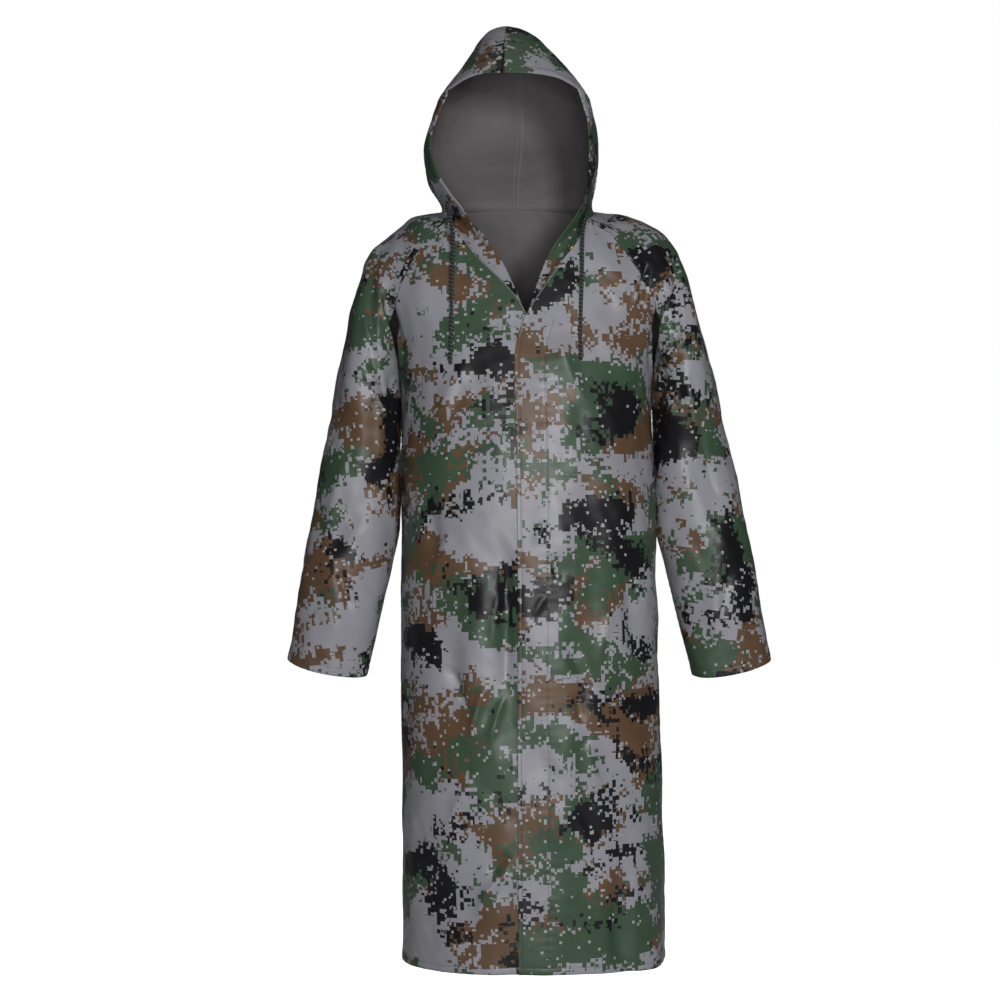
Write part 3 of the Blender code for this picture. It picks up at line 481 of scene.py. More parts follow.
def reach(grid, axis, from_end=False):
    """Distance along the rows (axis 1) or columns (axis 0) from the grid's first or last line."""
    steps = np.linalg.norm(np.diff(grid, axis=axis), axis=2)
    shape = (1, grid.shape[1]) if axis == 0 else (grid.shape[0], 1)
    along = np.concatenate((np.zeros(shape), np.cumsum(steps, axis=axis)), axis=axis)
    total = along[-1:, :] if axis == 0 else along[:, -1:]
    return total - along if from_end else along


def outward(grid, centre):
    """Normals of a grid, the cross product of its two directions turned away from a centre."""
    normals = unit(np.cross(np.gradient(grid, axis=1), np.gradient(grid, axis=0)))
    side = np.sign((normals * (grid - centre)).sum())
    return normals * side, side


# ---------------------------------------------------------------- body

def section_points(turn, z, front):
    """Points of the body's sections, superellipses of named width, depth and power."""
    width, power = read(BODY, "half_width", z), read(BODY, "power", z)
    depth = read(BODY, "front_depth" if front else "back_depth", z)
    across = np.sign(np.cos(turn)) * np.abs(np.cos(turn)) ** (2 / power) * width
    out = np.abs(np.sin(turn)) ** (2 / power) * depth
    return np.stack([across, -out if front else out, z + 0.0 * turn], axis=-1)


def turn_at(x, z):
    """The turn whose section point lies x from the centre."""
    share = np.clip(np.abs(x) / read(BODY, "half_width", z), 0.0, 1.0)
    turn = np.arccos(share ** (read(BODY, "power", z) / 2))
    return np.where(x < 0, math.pi - turn, turn)


def hem_drop(points):
    """The hem hangs a little lower at the side seams than at the centre."""
    side = np.clip(np.abs(points[..., 0]) / read(BODY, "half_width", HEM_Z), 0, 1) ** 2
    low = 1 - ease(HEM_Z, HEM_Z + HEM_DROP_REACH, points[..., 2])
    dropped = points.copy()
    dropped[..., 2] -= HEM_SIDE_DROP * side * low
    return dropped


def fold_push(height, apart, way, top):
    """Push of one large fold: the bell curve of the way from its middle line, in half
    widths, rising over its top and fading over its foot."""
    return height * np.exp(-apart**2) * ease(0.0, top, way) * ease(1.0, FOLD_FOOT, way)


def drape_body(points, side):
    """Pushes body points in or out along their bearing by the body's large folds."""
    x, y, z = points[..., 0] * side, points[..., 1], points[..., 2]
    bearing, radius = np.degrees(np.arctan2(x, -y)), np.hypot(x, y)
    push = np.zeros_like(z)
    for fold in rows_of(BODY_FOLDS):
        way = (fold["top_z"] - z) / (fold["top_z"] - fold["bottom_z"])
        middle = fold["top_bearing"] + (fold["bottom_bearing"] - fold["top_bearing"]) * way
        turned = (bearing - middle + 180.0) % 360.0 - 180.0
        apart = np.radians(turned) * radius / fold["width"]
        push += fold_push(fold["height"], apart, way, BODY_FOLD_TOP)
    out = np.stack([points[..., 0] / radius, y / radius, np.zeros_like(z)], axis=-1)
    return points + out * push[..., None]


def lap(points, lapping):
    """Lifts the lapping front off the front under it."""
    lifted = points.copy()
    if lapping:
        lifted[..., 1] -= (LAP_LIFT * ease(LAP_NONE_X, LAP_FULL_X, points[..., 0])
                           * ease(LAP_NONE_Z, LAP_FULL_Z, points[..., 2]))
    return lifted


RAGLAN_BY_FRONT_Z = by_level(RAGLAN, "front_z", "front_turn")
RAGLAN_BY_BACK_Z = by_level(RAGLAN, "back_z", "back_turn")


def front_paths(z, lapping):
    """Sections of a front at these levels, from its closure edge to its side seam."""
    z = z[:, None]
    seam = np.where(z > UNDERARM_Z, np.radians(read(RAGLAN_BY_FRONT_Z, "front_turn", z)), 0.0)
    edge = turn_at(read(FRONT_EDGE, "over_x" if lapping else "under_x", z), z)
    turns = edge + (seam - edge) * np.linspace(0, 1, DENSE)
    return lap(section_points(turns, z, True), lapping)


def back_paths(z):
    """Sections of the back at these levels, from seam to seam."""
    z = z[:, None]
    seam = np.where(z > UNDERARM_Z, np.radians(read(RAGLAN_BY_BACK_Z, "back_turn", z)), 0.0)
    turns = seam + (math.pi - 2 * seam) * np.linspace(0, 1, DENSE)
    return section_points(turns, z, False)


def back_points(z, shares):
    """Points of the back; its top rises to the neckline."""
    points = at_shares(back_paths(z), shares)
    across = np.abs(points[..., 0]) / np.abs(points[:, :1, 0])
    rise = ease(UNDERARM_Z, column(RAGLAN, "back_z")[0], z)[:, None]
    points[..., 2] += BACK_NECK_RISE * (1 - np.clip(across, 0, 1) ** 2) * rise
    return drape_body(hem_drop(points), 1)


def body_levels(face, line):
    """Levels from the hem to the top, close together at the hem's stitches. Over the
    yoke they are the sleeve's own stations, so that the seam's points meet."""
    lower = HEM_Z + steps_with_lines(UNDERARM_Z - HEM_Z, BODY_STEP, (line,))
    return np.concatenate((lower, read(RAGLAN, face + "_z", yoke_stations()[::-1][1:])))


def yoke_stations():
    """Stations of the rows between the neckline and the underarm."""
    return np.linspace(0, UNDERARM_STATION, YOKE_ROWS)


# ---------------------------------------------------------------- sleeves

def sleeve_points(stations, shares, side):
    """Sections of a sleeve: arcs in a leaning plane, evened out and then folded."""
    value = {name: read(SLEEVE, name, stations)[:, None] for name in SLEEVE[0][1:]}
    spread = np.radians(value["spread"])
    turns = spread * np.linspace(-1, 1, DENSE)
    swell = (np.cos(turns) - np.cos(spread)) / (1 - np.cos(spread))
    away = np.stack([value["outer_x"] - value["inner_x"], 0 * spread,
                     value["outer_z"] - value["inner_z"]], axis=-1)
    paths = np.stack([value["inner_x"] + swell * away[..., 0],
                      value["mid_y"] + value["half_depth"] * np.sin(turns),
                      value["inner_z"] + swell * away[..., 2]], axis=-1)
    paths = meet_seams(paths, stations)
    paths[..., 2] += (CUFF_FRONT_DROP * (paths[..., 1] - value["mid_y"])
                      * ease(CUFF_DROP_STATION, CUFF_STATION, stations)[:, None])
    return drape_sleeve(at_shares(paths, shares), stations[:, None], shares * 2 - 1, side)


def meet_seams(paths, stations):
    """Brings an arch's two ends to the raglan seams."""
    open_rows = (stations < UNDERARM_STATION)[:, None]
    round_way = np.linspace(-1, 1, paths.shape[1])[:, None]
    moved = paths.copy()
    for face, end in (("front", 0), ("back", -1)):
        turn = np.radians(read(RAGLAN, face + "_turn", stations))
        seam = section_points(turn, read(RAGLAN, face + "_z", stations), face == "front")
        shift = np.where(open_rows, seam - paths[:, end], 0.0)
        share = ((1 - round_way) / 2 if end == 0 else (1 + round_way) / 2) ** 2
        moved += shift[:, None, :] * share
    return moved


def drape_sleeve(grid, station, round_way, side):
    """Pushes a sleeve's points in or out by its large folds, none at its seams."""
    middle = (grid.max(axis=1, keepdims=True) + grid.min(axis=1, keepdims=True)) / 2
    out = unit((grid - middle) * np.array([1.0, 1.0, 0.3]))
    half_girth = lengths(grid)[:, None] / 2
    push = np.zeros(grid.shape[:2])
    for fold in rows_of(SLEEVE_FOLDS):
        if fold["side"] != side:
            continue
        way = (station - fold["top_station"]) / (fold["bottom_station"] - fold["top_station"])
        centre = fold["top_round"] + (fold["bottom_round"] - fold["top_round"]) * way
        apart = (round_way - centre) * half_girth / fold["width"]
        push += fold_push(fold["height"], apart, way, SLEEVE_FOLD_TOP)
    return grid + out * (push * (1 - np.abs(round_way) ** 8))[..., None]


# ---------------------------------------------------------------- hood

def neckline(places, lapping, side):
    """Points of the neckline seam at places counted in its steps: up the V, over the
    top of the sleeve and along the back to its centre."""
    v = np.clip(places / V_STEPS, 0, 1)
    edge_z = read(RAGLAN, "front_z", V_STATION * (1 - v))
    edge = drape_body(hem_drop(front_paths(edge_z, lapping)[:, 0]), side)
    over = np.clip((places - V_STEPS) / SHOULDER_STEPS, 0, 1)[None, :]
    shoulder = sleeve_points(np.zeros(1), over, side)[0]
    behind = np.clip((places - V_STEPS - SHOULDER_STEPS) / NAPE_STEPS, 0, 1) / 2
    nape = back_points(column(RAGLAN, "back_z")[:1], behind[None, :])[0]
    where = places[:, None]
    beyond = np.where(where <= V_STEPS + SHOULDER_STEPS, shoulder, nape)
    return np.where(where <= V_STEPS, edge, beyond)


def hood_keys(places, lapping):
    """The hood's rows of the table: a cheek from the face edge to the widest point, and
    a quarter of a superellipse from there to the centre back."""
    edge_x = column(HOOD, "over_x" if lapping else "under_x")[:, None]
    value = {name: column(HOOD, name)[:, None] for name in HOOD[0][3:]}
    ahead, back = np.linspace(1, 0, DENSE), np.linspace(0, math.pi / 2, DENSE)
    wide, wide_y, wide_z = value["half_width"], value["wide_y"], value["wide_z"]
    cheek = np.stack([wide - (wide - edge_x) * ahead**CHEEK_IN_POWER,
                      wide_y + (value["edge_y"] - wide_y) * ahead,
                      wide_z + (value["edge_z"] - wide_z) * ahead**CHEEK_DROP_POWER], axis=-1)
    nape = np.stack([wide * np.cos(back) ** (2 / NAPE_POWER),
                     wide_y + (value["back_y"] - wide_y) * np.sin(back) ** (2 / NAPE_POWER),
                     wide_z + (value["back_z"] - wide_z) * np.sin(back) ** 2], axis=-1)
    return join_at_cheek(cheek, nape, places)


def join_at_cheek(cheek, nape, places):
    """Points along a cheek path and then a nape path, at places counted in hood steps."""
    behind = (places - CHEEK_STEPS) / (HOOD_STEPS - CHEEK_STEPS)
    fore = at_shares(cheek, np.clip(places / CHEEK_STEPS, 0, 1)[None, :])
    rear = at_shares(nape, np.clip(behind, 0, 1)[None, :])
    return np.where(places[None, :, None] <= CHEEK_STEPS, fore, rear)


def crown_paths(rise):
    """Sections of the crown from the centre front over the side to the centre back."""
    value = {name: read(CROWN, name, rise)[:, None] for name in CROWN[0][1:]}
    turn = np.linspace(0, math.pi, 2 * DENSE)[None, :]
    fore = turn < math.pi / 2
    power = 2 / np.where(fore, value["brow_power"], NAPE_POWER)
    ahead = np.abs(np.cos(turn)) ** power
    end_y = np.where(fore, value["front_y"], value["back_y"])
    end_z = np.where(fore, value["front_z"], value["back_z"])
    fall = np.where(fore, value["brow_drop"], 2.0)
    return np.stack([value["half_width"] * np.sin(turn) ** power,
                     value["wide_y"] + (end_y - value["wide_y"]) * ahead,
                     value["wide_z"] + (end_z - value["wide_z"]) * ahead**fall], axis=-1)


def crown_points(rise, brow_shares, places):
    """Crown of one hood panel: brow, cheek and nape, each at its own shares."""
    paths = crown_paths(rise)
    limit = BROW_CORNER_X / column(CROWN, "half_width")[0]
    widest = paths[:, :, 0].max(axis=1)
    passed = paths[:, :, 0] >= limit * widest[:, None]
    split = np.where(widest > 0, passed.argmax(axis=1), paths.shape[1] // 3)[:, None]
    wide = np.full_like(split, DENSE)
    last = np.full_like(split, paths.shape[1] - 1)

    def stretch(start, end):
        """The stretch of each path between two of its points, at an even count."""
        at = start + (end - start) * np.linspace(0, 1, DENSE)
        low = np.clip(at.astype(int), 0, paths.shape[1] - 2)
        part = (at - low)[..., None]
        return (np.take_along_axis(paths, low[..., None], axis=1) * (1 - part)
                + np.take_along_axis(paths, low[..., None] + 1, axis=1) * part)

    brow = at_shares(stretch(0 * split, split), brow_shares[None, :])
    cheek_and_nape = join_at_cheek(stretch(split, wide), stretch(wide, last), places)
    return np.concatenate((brow[:, :-1], cheek_and_nape), axis=1)


# ---------------------------------------------------------------- placing and small relief

# The middle of the hood slides sideways: how far over the brow, the top and the back, how
# wide a stretch slides with it, and between which levels that sets in.
SLIDE_Y, SLIDE_X = (-0.110, 0.012, 0.130), (-0.0170, -0.0040, 0.0127)
SLIDE_REACH = 0.045
SLIDE_NONE_Z, SLIDE_FULL_Z = 0.010, 0.045

# Soft waves: how many, their shortest and longest length, the spread of their tilt and
# how much more the long ones count. Near a sewn edge only a share of them is left.
WAVE_SEED, WAVE_COUNT = 41, 52
WAVE_SHORT, WAVE_LONG = 0.018, 0.150
WAVE_TILT, WAVE_POWER = 0.55, 0.9
SLEEVE_WAVES, HOOD_WAVES = 1.15, 0.8
EDGE_WAVES, HOOD_EDGE_WAVES = 0.35, 0.30
EDGE_REACH, HOOD_EDGE_REACH = 0.035, 0.030

# Creases: the rounding and steepness of a sharp ridge, the shares of its line where it is
# full, and how squarely the cloth has to face its way for it to start and to be full.
RIDGE_ROUND, RIDGE_STEEP = 0.25, 1.4
CREASE_TOP, CREASE_FOOT = 0.3, 0.65
FACING_NONE, FACING_FULL = 0.1, 0.5

# Sewn lines: how far each lies from its edge, and how a turned edge is raised beside it.
HEM_LINE, CUFF_LINE = 0.0100, 0.0120
EDGE_LINE, PLACKET_LINE, PLACKET_REACH = 0.0055, 0.0460, 0.0600
NECK_LINE, RAGLAN_LINE, CASING_LINE, CENTRE_LINE = 0.0017, 0.0040, 0.0200, 0.0040
FOLD_RISE, FOLD_SLOPE = 0.0005, 0.0008
RAGLAN_RISE_NONE, RAGLAN_RISE_FULL = 0.006, 0.003

# Ridges and grooves along the sewn lines: the height out of the cloth and half the width.
RIDGES = (
    ("line", "height", "width"),
    ("stitches", -0.00045, 0.0012),
    ("placket", -0.00040, 0.0013),
    ("seam", -0.00050, 0.0016),
    ("face", -0.00140, 0.0022),
    ("casing", 0.00090, 0.0060),
    ("cord channel", -0.00060, 0.0020),
)

# Gathers along the sewn lines: their height as a share of the setting, the distance from
# one to the next and how far they reach off the line.
GATHERS = (
    ("line", "share", "pitch", "width"),
    ("hem", 1.0, 0.011, 0.007),
    ("side", 0.7, 0.013, 0.009),
    ("placket", 1.3, 0.012, 0.010),
    ("edge", 0.6, 0.010, 0.006),
    ("cuff", 1.0, 0.010, 0.007),
    ("raglan", 0.8, 0.012, 0.010),
    ("casing", 2.4, 0.014, 0.015),
)

# How unevenly the gathers come: how far they drift, in radians, and how quickly along the
# line, and how their height changes.
DRIFTS = ((1.3, 31.0), (0.9, 67.0))
HEIGHT_MEAN, HEIGHT_SWING, HEIGHT_RATE = 0.65, 0.35, 23.0


def cloth():
    """The settings of the cloth."""
    return bpy.context.scene.raincoat_cloth


def place(points, side=1):
    """Puts points on their side of the coat and lets them lean with it."""
    placed = points.copy()
    placed[..., 0] *= side
    z = placed[..., 2]
    outer = ease(LEAN_CENTRE_X, LEAN_SIDE_X, np.abs(placed[..., 0]))
    placed[..., 0] += read(LEAN, "centre", z) * (1 - outer) + read(LEAN, "side", z) * outer
    return placed


def slide_centre_seam(points):
    """Slides the middle of the hood: its seam stands to -X over the brow and to +X down
    the back, fading away from the seam and down to the neckline."""
    x, y, z = np.moveaxis(points, -1, 0)
    slide = np.interp(y, SLIDE_Y, SLIDE_X)
    fade = hump(read(LEAN, "centre", z), SLIDE_REACH, x) * ease(SLIDE_NONE_Z, SLIDE_FULL_Z, z)
    return points + np.array([1.0, 0.0, 0.0]) * (slide * fade)[..., None]


@functools.cache
def wave_table():
    """Wave vectors, phases and shares of the soft waves: longer up the cloth than across."""
    rng = np.random.default_rng(WAVE_SEED)
    length = WAVE_SHORT * (WAVE_LONG / WAVE_SHORT) ** rng.uniform(0, 1, WAVE_COUNT)
    bearing = rng.uniform(0, 2 * math.pi, WAVE_COUNT)
    tilt = rng.normal(0.0, WAVE_TILT, WAVE_COUNT)
    ways = np.stack([np.cos(bearing), np.sin(bearing), tilt], axis=1)
    share = (length / WAVE_LONG) ** WAVE_POWER
    return (ways * (2 * math.pi / length)[:, None], rng.uniform(0, 2 * math.pi, WAVE_COUNT),
            share / np.sqrt((share**2).sum() / 2))


def waves(points):
    """Soft waves of the cloth: a sum of sines over the place in the coat."""
    vectors, phases, share = wave_table()
    return np.sin(points @ vectors.T + phases) @ share


def crease_height(points, normals):
    """Height of the listed creases: each is a bell or a sharper ridge across a
    slightly bowed line, fading at its ends and on the far face."""
    height = np.zeros(points.shape[:2])
    for line in rows_of(CREASES):
        start, end = np.array([line["x0"], line["z0"]]), np.array([line["x1"], line["z1"]])
        run = np.linalg.norm(end - start)
        along = (end - start) / run
        away = points[..., ::2] - start
        way = (away @ along) / run
        off = away @ np.array([along[1], -along[0]]) - line["bow"] * 4 * way * (1 - way)
        off = off / line["width"]
        sharp = np.exp(RIDGE_ROUND - np.sqrt(off**2 + RIDGE_ROUND**2) * RIDGE_STEEP)
        profile = line["keen"] * sharp + (1 - line["keen"]) * np.exp(-off**2)
        fade = ease(0.0, CREASE_TOP, way) * ease(1.0, CREASE_FOOT, way)
        facing = ease(FACING_NONE, FACING_FULL, normals[..., 1] * line["face"])
        height += line["height"] * profile * fade * facing
    return height * cloth().crease


def soft_relief(grid, centre, edge, share=1.0, least=EDGE_WAVES, near=EDGE_REACH):
    """The creases and a share of the soft waves, which die down towards the sewn edges."""
    calm = least + (1 - least) * ease(0.0, near, edge)
    return crease_height(grid, outward(grid, centre)[0]) + cloth().ripple * share * calm * waves(grid)


def puckers(line, along, across, seed):
    """Small gathers along a sewn line: uneven sines that die out away from the line."""
    kind = named_row(GATHERS, line)
    drift = sum(far * np.sin(along * rate + order * seed)
                for order, (far, rate) in enumerate(DRIFTS, 1))
    strength = HEIGHT_MEAN + HEIGHT_SWING * np.sin(along * HEIGHT_RATE + 3 * seed)
    swing = np.sin(2 * math.pi * along / kind["pitch"] + drift)
    return cloth().pucker * kind["share"] * (strength * swing * hump(0.0, kind["width"], across))


def ridge(line, middle, distance):
    """A ridge or groove along a sewn line: a bell curve of the way from its middle."""
    kind = named_row(RIDGES, line)
    return kind["height"] * hump(middle, kind["width"], distance)


def sewn_fold(distance, line):
    """A turned edge: raised as far as its sewn line, with a groove where the stitches pull."""
    raised = ease(line + FOLD_SLOPE, line - FOLD_SLOPE, distance)
    return FOLD_RISE * raised + ridge("stitches", line, distance)


# ---------------------------------------------------------------- panels

# Where the sewn closure, the placket, the raglan seams and the hood's casing set in.
CLOSURE_NONE_Z, CLOSURE_FULL_Z = -0.150, -0.205
PLACKET_TOP_Z, PLACKET_FADE = -0.180, 0.01
RAGLAN_FADE = 0.3
CASING_NONE_Z, CASING_FULL_Z = 0.02, 0.05
FRONT_WIDTH = 0.345
UPRIGHT = np.array([0.0, 0.0, 1.0])
HOOD_MIDDLE = np.array([-0.03, 0.02, 0.12])

# How the panels are laid on the cloth: the turn of the sleeves' grain, how far up the hood
# is cut, the net's step and shortest row, and where the panels' prints start.
SLEEVE_GRAIN = math.radians(14.0)
HOOD_CUT_SHIFT = 0.31
NET_STEP, NET_LEAST_ROW = 5, 0.004
PRINT_STARTS, PRINT_STEP, PRINT_SLOPE = 7, 0.37, 1.3


class Panel:
    """A finished outer face: its points, normals, flat place in metres and faces to keep."""

    def __init__(self, node, grid, centre, flat, height, keep=None):
        normals, self.side = outward(grid, centre)
        self.node, self.flat = node, flat
        self.keep = np.ones(np.array(grid.shape[:2]) - 1, dtype=bool) if keep is None else keep
        self.grid = grid + normals * height[..., None]
        self.normals = outward(self.grid, centre)[0]

    def line(self, distance, axis=1, from_end=False, part=slice(None)):
        """A line on the panel at a distance from one of its edges, with its normals."""
        grid, normals = (self.grid, self.normals) if axis == 1 else (
            self.grid.transpose(1, 0, 2), self.normals.transpose(1, 0, 2))
        grid, normals = grid[part], normals[part]
        total = np.maximum(lengths(grid), 1e-9)[:, None]
        share = np.clip(distance / total, 0, 1)
        share = 1 - share if from_end else share
        return at_shares(grid, share)[:, 0], at_shares(grid, share, normals)[:, 0]


def body_relief(grid, edge, seam, hem_seed, seam_seed):
    """Relief of a front or the back: creases, soft waves, the turned hem, and gathers at
    the hem and the side seams."""
    across, up = reach(grid, 1), reach(grid, 0)
    return (soft_relief(grid, grid * UPRIGHT, edge) + sewn_fold(up, HEM_LINE)
            + puckers("hem", across, up - HEM_LINE, hem_seed) + puckers("side", up, seam, seam_seed))


@functools.cache
def front_panel(side):
    """A front: sections from the closure edge to the side seam, the lapping one with its
    fly placket, each with a turned hem and the seam along its neckline."""
    lapping = side == 1
    z = body_levels("front", HEM_LINE)
    paths = front_paths(z, lapping)
    total = np.maximum(lengths(paths), 1e-9)[:, None]
    near = np.minimum(PLACKET_REACH, 0.5 * total)
    lines = (NECK_LINE, EDGE_LINE, PLACKET_LINE) if lapping else (NECK_LINE, EDGE_LINE)
    away = steps_with_lines(FRONT_WIDTH, FRONT_STEP, lines)
    beyond = (away - PLACKET_REACH) * (total - near) / (FRONT_WIDTH - PLACKET_REACH)
    shares = np.where(away <= PLACKET_REACH, away * near / PLACKET_REACH, near + beyond) / total
    grid = place(drape_body(hem_drop(at_shares(paths, shares)), side), side)

    across, seam, up = reach(grid, 1), reach(grid, 1, True), reach(grid, 0)
    height = body_relief(grid, np.minimum(across, seam), seam, 1.0 + side, 4.0 + side)
    closure = ease(CLOSURE_NONE_Z, CLOSURE_FULL_Z, grid[..., 2])
    height += closure * sewn_fold(across, EDGE_LINE)
    height += (1 - closure) * sewn_fold(across, 2 * NECK_LINE)
    if lapping:
        sewn = ease(PLACKET_TOP_Z + PLACKET_FADE, PLACKET_TOP_Z - PLACKET_FADE, grid[..., 2])
        height += sewn * (ridge("placket", PLACKET_LINE, across)
                          + puckers("placket", up, across - PLACKET_LINE, 2.0)
                          + puckers("edge", up, across - EDGE_LINE, 3.0))
    edge_x = read(FRONT_EDGE, "over_x" if lapping else "under_x", z)[:, None]
    flat = np.stack([side * (edge_x + across), up], axis=-1)
    return Panel("front_left" if lapping else "front_right", grid, grid * UPRIGHT, flat, height)


@functools.cache
def back_panel():
    """The back: sections from side seam to side seam, with a turned hem."""
    shares = np.linspace(0, 1, BACK_COLUMNS)[None, :]
    grid = place(back_points(body_levels("back", HEM_LINE), shares))
    across, up = reach(grid, 1), reach(grid, 0)
    edge = np.minimum(across, reach(grid, 1, True))
    height = body_relief(grid, edge, edge, 7.0, 8.0)
    flat = np.stack([across[:, -1:] / 2 - across, up], axis=-1)
    return Panel("back", grid, grid * UPRIGHT, flat, height)


@functools.cache
def sleeve_panel(side):
    """A raglan sleeve: sections from the neckline to the cuff, with a turned cuff hem."""
    last = CUFF_STATION - UNDERARM_STATION
    end = sleeve_points(np.array([CUFF_STATION - 1.0, CUFF_STATION]), np.array([[0.5]]), side)[:, 0]
    per_station = np.linalg.norm(end[1] - end[0])
    lower = steps_with_lines(last, SLEEVE_STEP, (last - CUFF_LINE / per_station,),
                             LINE_STEP / per_station)
    stations = np.concatenate((yoke_stations(), UNDERARM_STATION + lower[1:]))
    shares = np.linspace(0, 1, SLEEVE_COLUMNS)[None, :]
    grid = place(sleeve_points(stations, shares, side), side)
    centre = grid.mean(axis=1, keepdims=True)

    across, down, cuff = reach(grid, 1), reach(grid, 0), reach(grid, 0, True)
    seam = np.minimum(across, reach(grid, 1, True))
    height = soft_relief(grid, centre, np.minimum(seam, down), SLEEVE_WAVES)
    height += sewn_fold(cuff, CUFF_LINE)
    height += puckers("cuff", across, cuff - CUFF_LINE, 9.0 + side)
    raglan = ease(UNDERARM_STATION + RAGLAN_FADE, UNDERARM_STATION - RAGLAN_FADE, stations)[:, None]
    height += raglan * (FOLD_RISE * ease(RAGLAN_RISE_NONE, RAGLAN_RISE_FULL, seam)
                        + ridge("seam", RAGLAN_LINE, seam))
    height += puckers("raglan", down, seam, 11.0 + side)

    round_way = across - across[:, across.shape[1] // 2][:, None]
    sin, cos = math.sin(SLEEVE_GRAIN), math.cos(SLEEVE_GRAIN)
    flat = np.stack([side * (down * sin + round_way * cos), round_way * sin - down * cos], axis=-1)
    return Panel("sleeve_left" if side == 1 else "sleeve_right", grid, centre, flat, height)


@functools.cache
def hood_panel(side):
    """One half of the hood: from the neckline up to the brow and on over the crown. Below
    the brow the brow's columns shrink to the face edge, and have no faces there."""
    lapping = side == 1
    places = finer_at_start(**HOOD_COLUMNS)
    ways = finer_at_start(**HOOD_ROWS)[:-1]
    brows = BROW_COLUMNS - 1
    crown = crown_points(np.linspace(0, 1, CROWN_ROWS), np.linspace(0, 1, BROW_COLUMNS), places)
    keys = np.concatenate((neckline(places, lapping, side)[None], hood_keys(places, lapping),
                           crown[:1, brows:]))
    stations = np.concatenate(([0.0], column(HOOD, "way"), [1.0]))
    lower = spline(stations, keys, ways)
    lower = np.concatenate((np.repeat(lower[:, :1], brows, axis=1), lower), axis=1)
    grid = np.concatenate((lower, crown))
    nape = brows + np.searchsorted(places, CHEEK_STEPS)
    centre_part = np.zeros(grid.shape[:2], dtype=bool)
    centre_part[:, nape:] = centre_part[len(ways):] = True
    grid[..., 0] = np.where(centre_part, np.maximum(grid[..., 0], 0.0), grid[..., 0])
    grid = slide_centre_seam(place(grid, side))

    columns = np.arange(grid.shape[1])[None, :]
    low_rows = np.arange(len(grid))[:, None] < len(ways)
    brow_part = columns < brows
    from_face, from_back = reach(grid, 1), reach(grid, 1, True)
    up = reach(grid, 0)
    from_brow = up - up[len(ways)]
    up = np.where(brow_part & ~low_rows, up[len(ways), brows] + from_brow, up)
    beside = np.maximum(0, from_face - from_face[:, brows:brows + 1])
    face = np.where(low_rows, from_face, np.hypot(from_brow, beside))

    height = soft_relief(grid, HOOD_MIDDLE, np.minimum(face, up), HOOD_WAVES, HOOD_EDGE_WAVES,
                         HOOD_EDGE_REACH)
    height += ridge("face", 0.0, face)
    casing = ease(CASING_NONE_Z, CASING_FULL_Z, grid[..., 2])
    height += casing * (ridge("casing", 0.5 * CASING_LINE, face)
                        + ridge("cord channel", CASING_LINE, face)
                        + puckers("casing", up + from_face, face - CASING_LINE, 5.0 + side))
    height += ridge("seam", 0.0, np.where(brow_part | ~low_rows, from_face, 1.0))
    height += ridge("seam", 0.0, from_back)

    first, whole = from_face[len(ways), brows], from_face[len(ways), -1]
    crown_u = np.where(columns <= nape, from_face, whole - from_back)
    flat_u = np.where(low_rows, first + from_face, crown_u)
    flat = np.stack([side * flat_u, up + HOOD_CUT_SHIFT], axis=-1)
    keep = ~(low_rows & brow_part)[:-1, :-1]
    return Panel("hood_left" if lapping else "hood_right", grid, HOOD_MIDDLE, flat, height, keep)


# ---------------------------------------------------------------- shader parts

def feed(tree, node, inputs):
    """Sets a node's inputs to values, or links them to other nodes' sockets."""
    for key, value in inputs.items():
        if isinstance(value, bpy.types.NodeSocket):
            tree.links.new(value, node.inputs[key])
        else:
            node.inputs[key].default_value = value


def add_node(tree, kind, inputs=None, **settings):
    """A node with its settings and its inputs."""
    new = tree.nodes.new(kind)
    for name, value in settings.items():
        setattr(new, name, value)
    feed(tree, new, inputs or {})
    return new


def calc(tree, operation, *values):
    """A sum or other operation on numbers."""
    return add_node(tree, "ShaderNodeMath", dict(enumerate(values)), operation=operation).outputs[0]


def vector(tree, operation, *values):
    """An operation on vectors."""
    return add_node(tree, "ShaderNodeVectorMath", dict(enumerate(values)), operation=operation).outputs[0]


def mix(tree, share, one, two):
    """A mix of two colours."""
    return add_node(tree, "ShaderNodeMix", {0: share, 6: one, 7: two}, data_type="RGBA").outputs[2]


def scaled(tree, value, low, high, to_low, to_high):
    """A number carried from one range to another, and kept inside it."""
    ranges = {0: value, 1: low, 2: high, 3: to_low, 4: to_high}
    return add_node(tree, "ShaderNodeMapRange", ranges).outputs[0]


def noise(tree, where, scale, detail=2.0, **more):
    """Soft noise at a place, a number from 0 to 1."""
    inputs = {"Vector": where, "Scale": scale, "Detail": detail, **more}
    return add_node(tree, "ShaderNodeTexNoise", inputs, noise_dimensions="3D").outputs[0]


def bumped(tree, height, strength, depth):
    """The way out of the surface, bent by a height from 0 to 1."""
    inputs = {"Strength": strength, "Distance": depth, "Height": height}
    return add_node(tree, "ShaderNodeBump", inputs).outputs[0]


def in_coat(tree):
    """The place in the coat, in metres."""
    return add_node(tree, "ShaderNodeTexCoord").outputs["Object"]


def on_cloth(tree):
    """The place on the flat cloth, in metres."""
    return add_node(tree, "ShaderNodeUVMap", uv_map="cloth").outputs[0]


def opaque(colour, share=1.0):
    """A share of a colour of three numbers, with full alpha."""
    return (*(share * part for part in colour), 1.0)


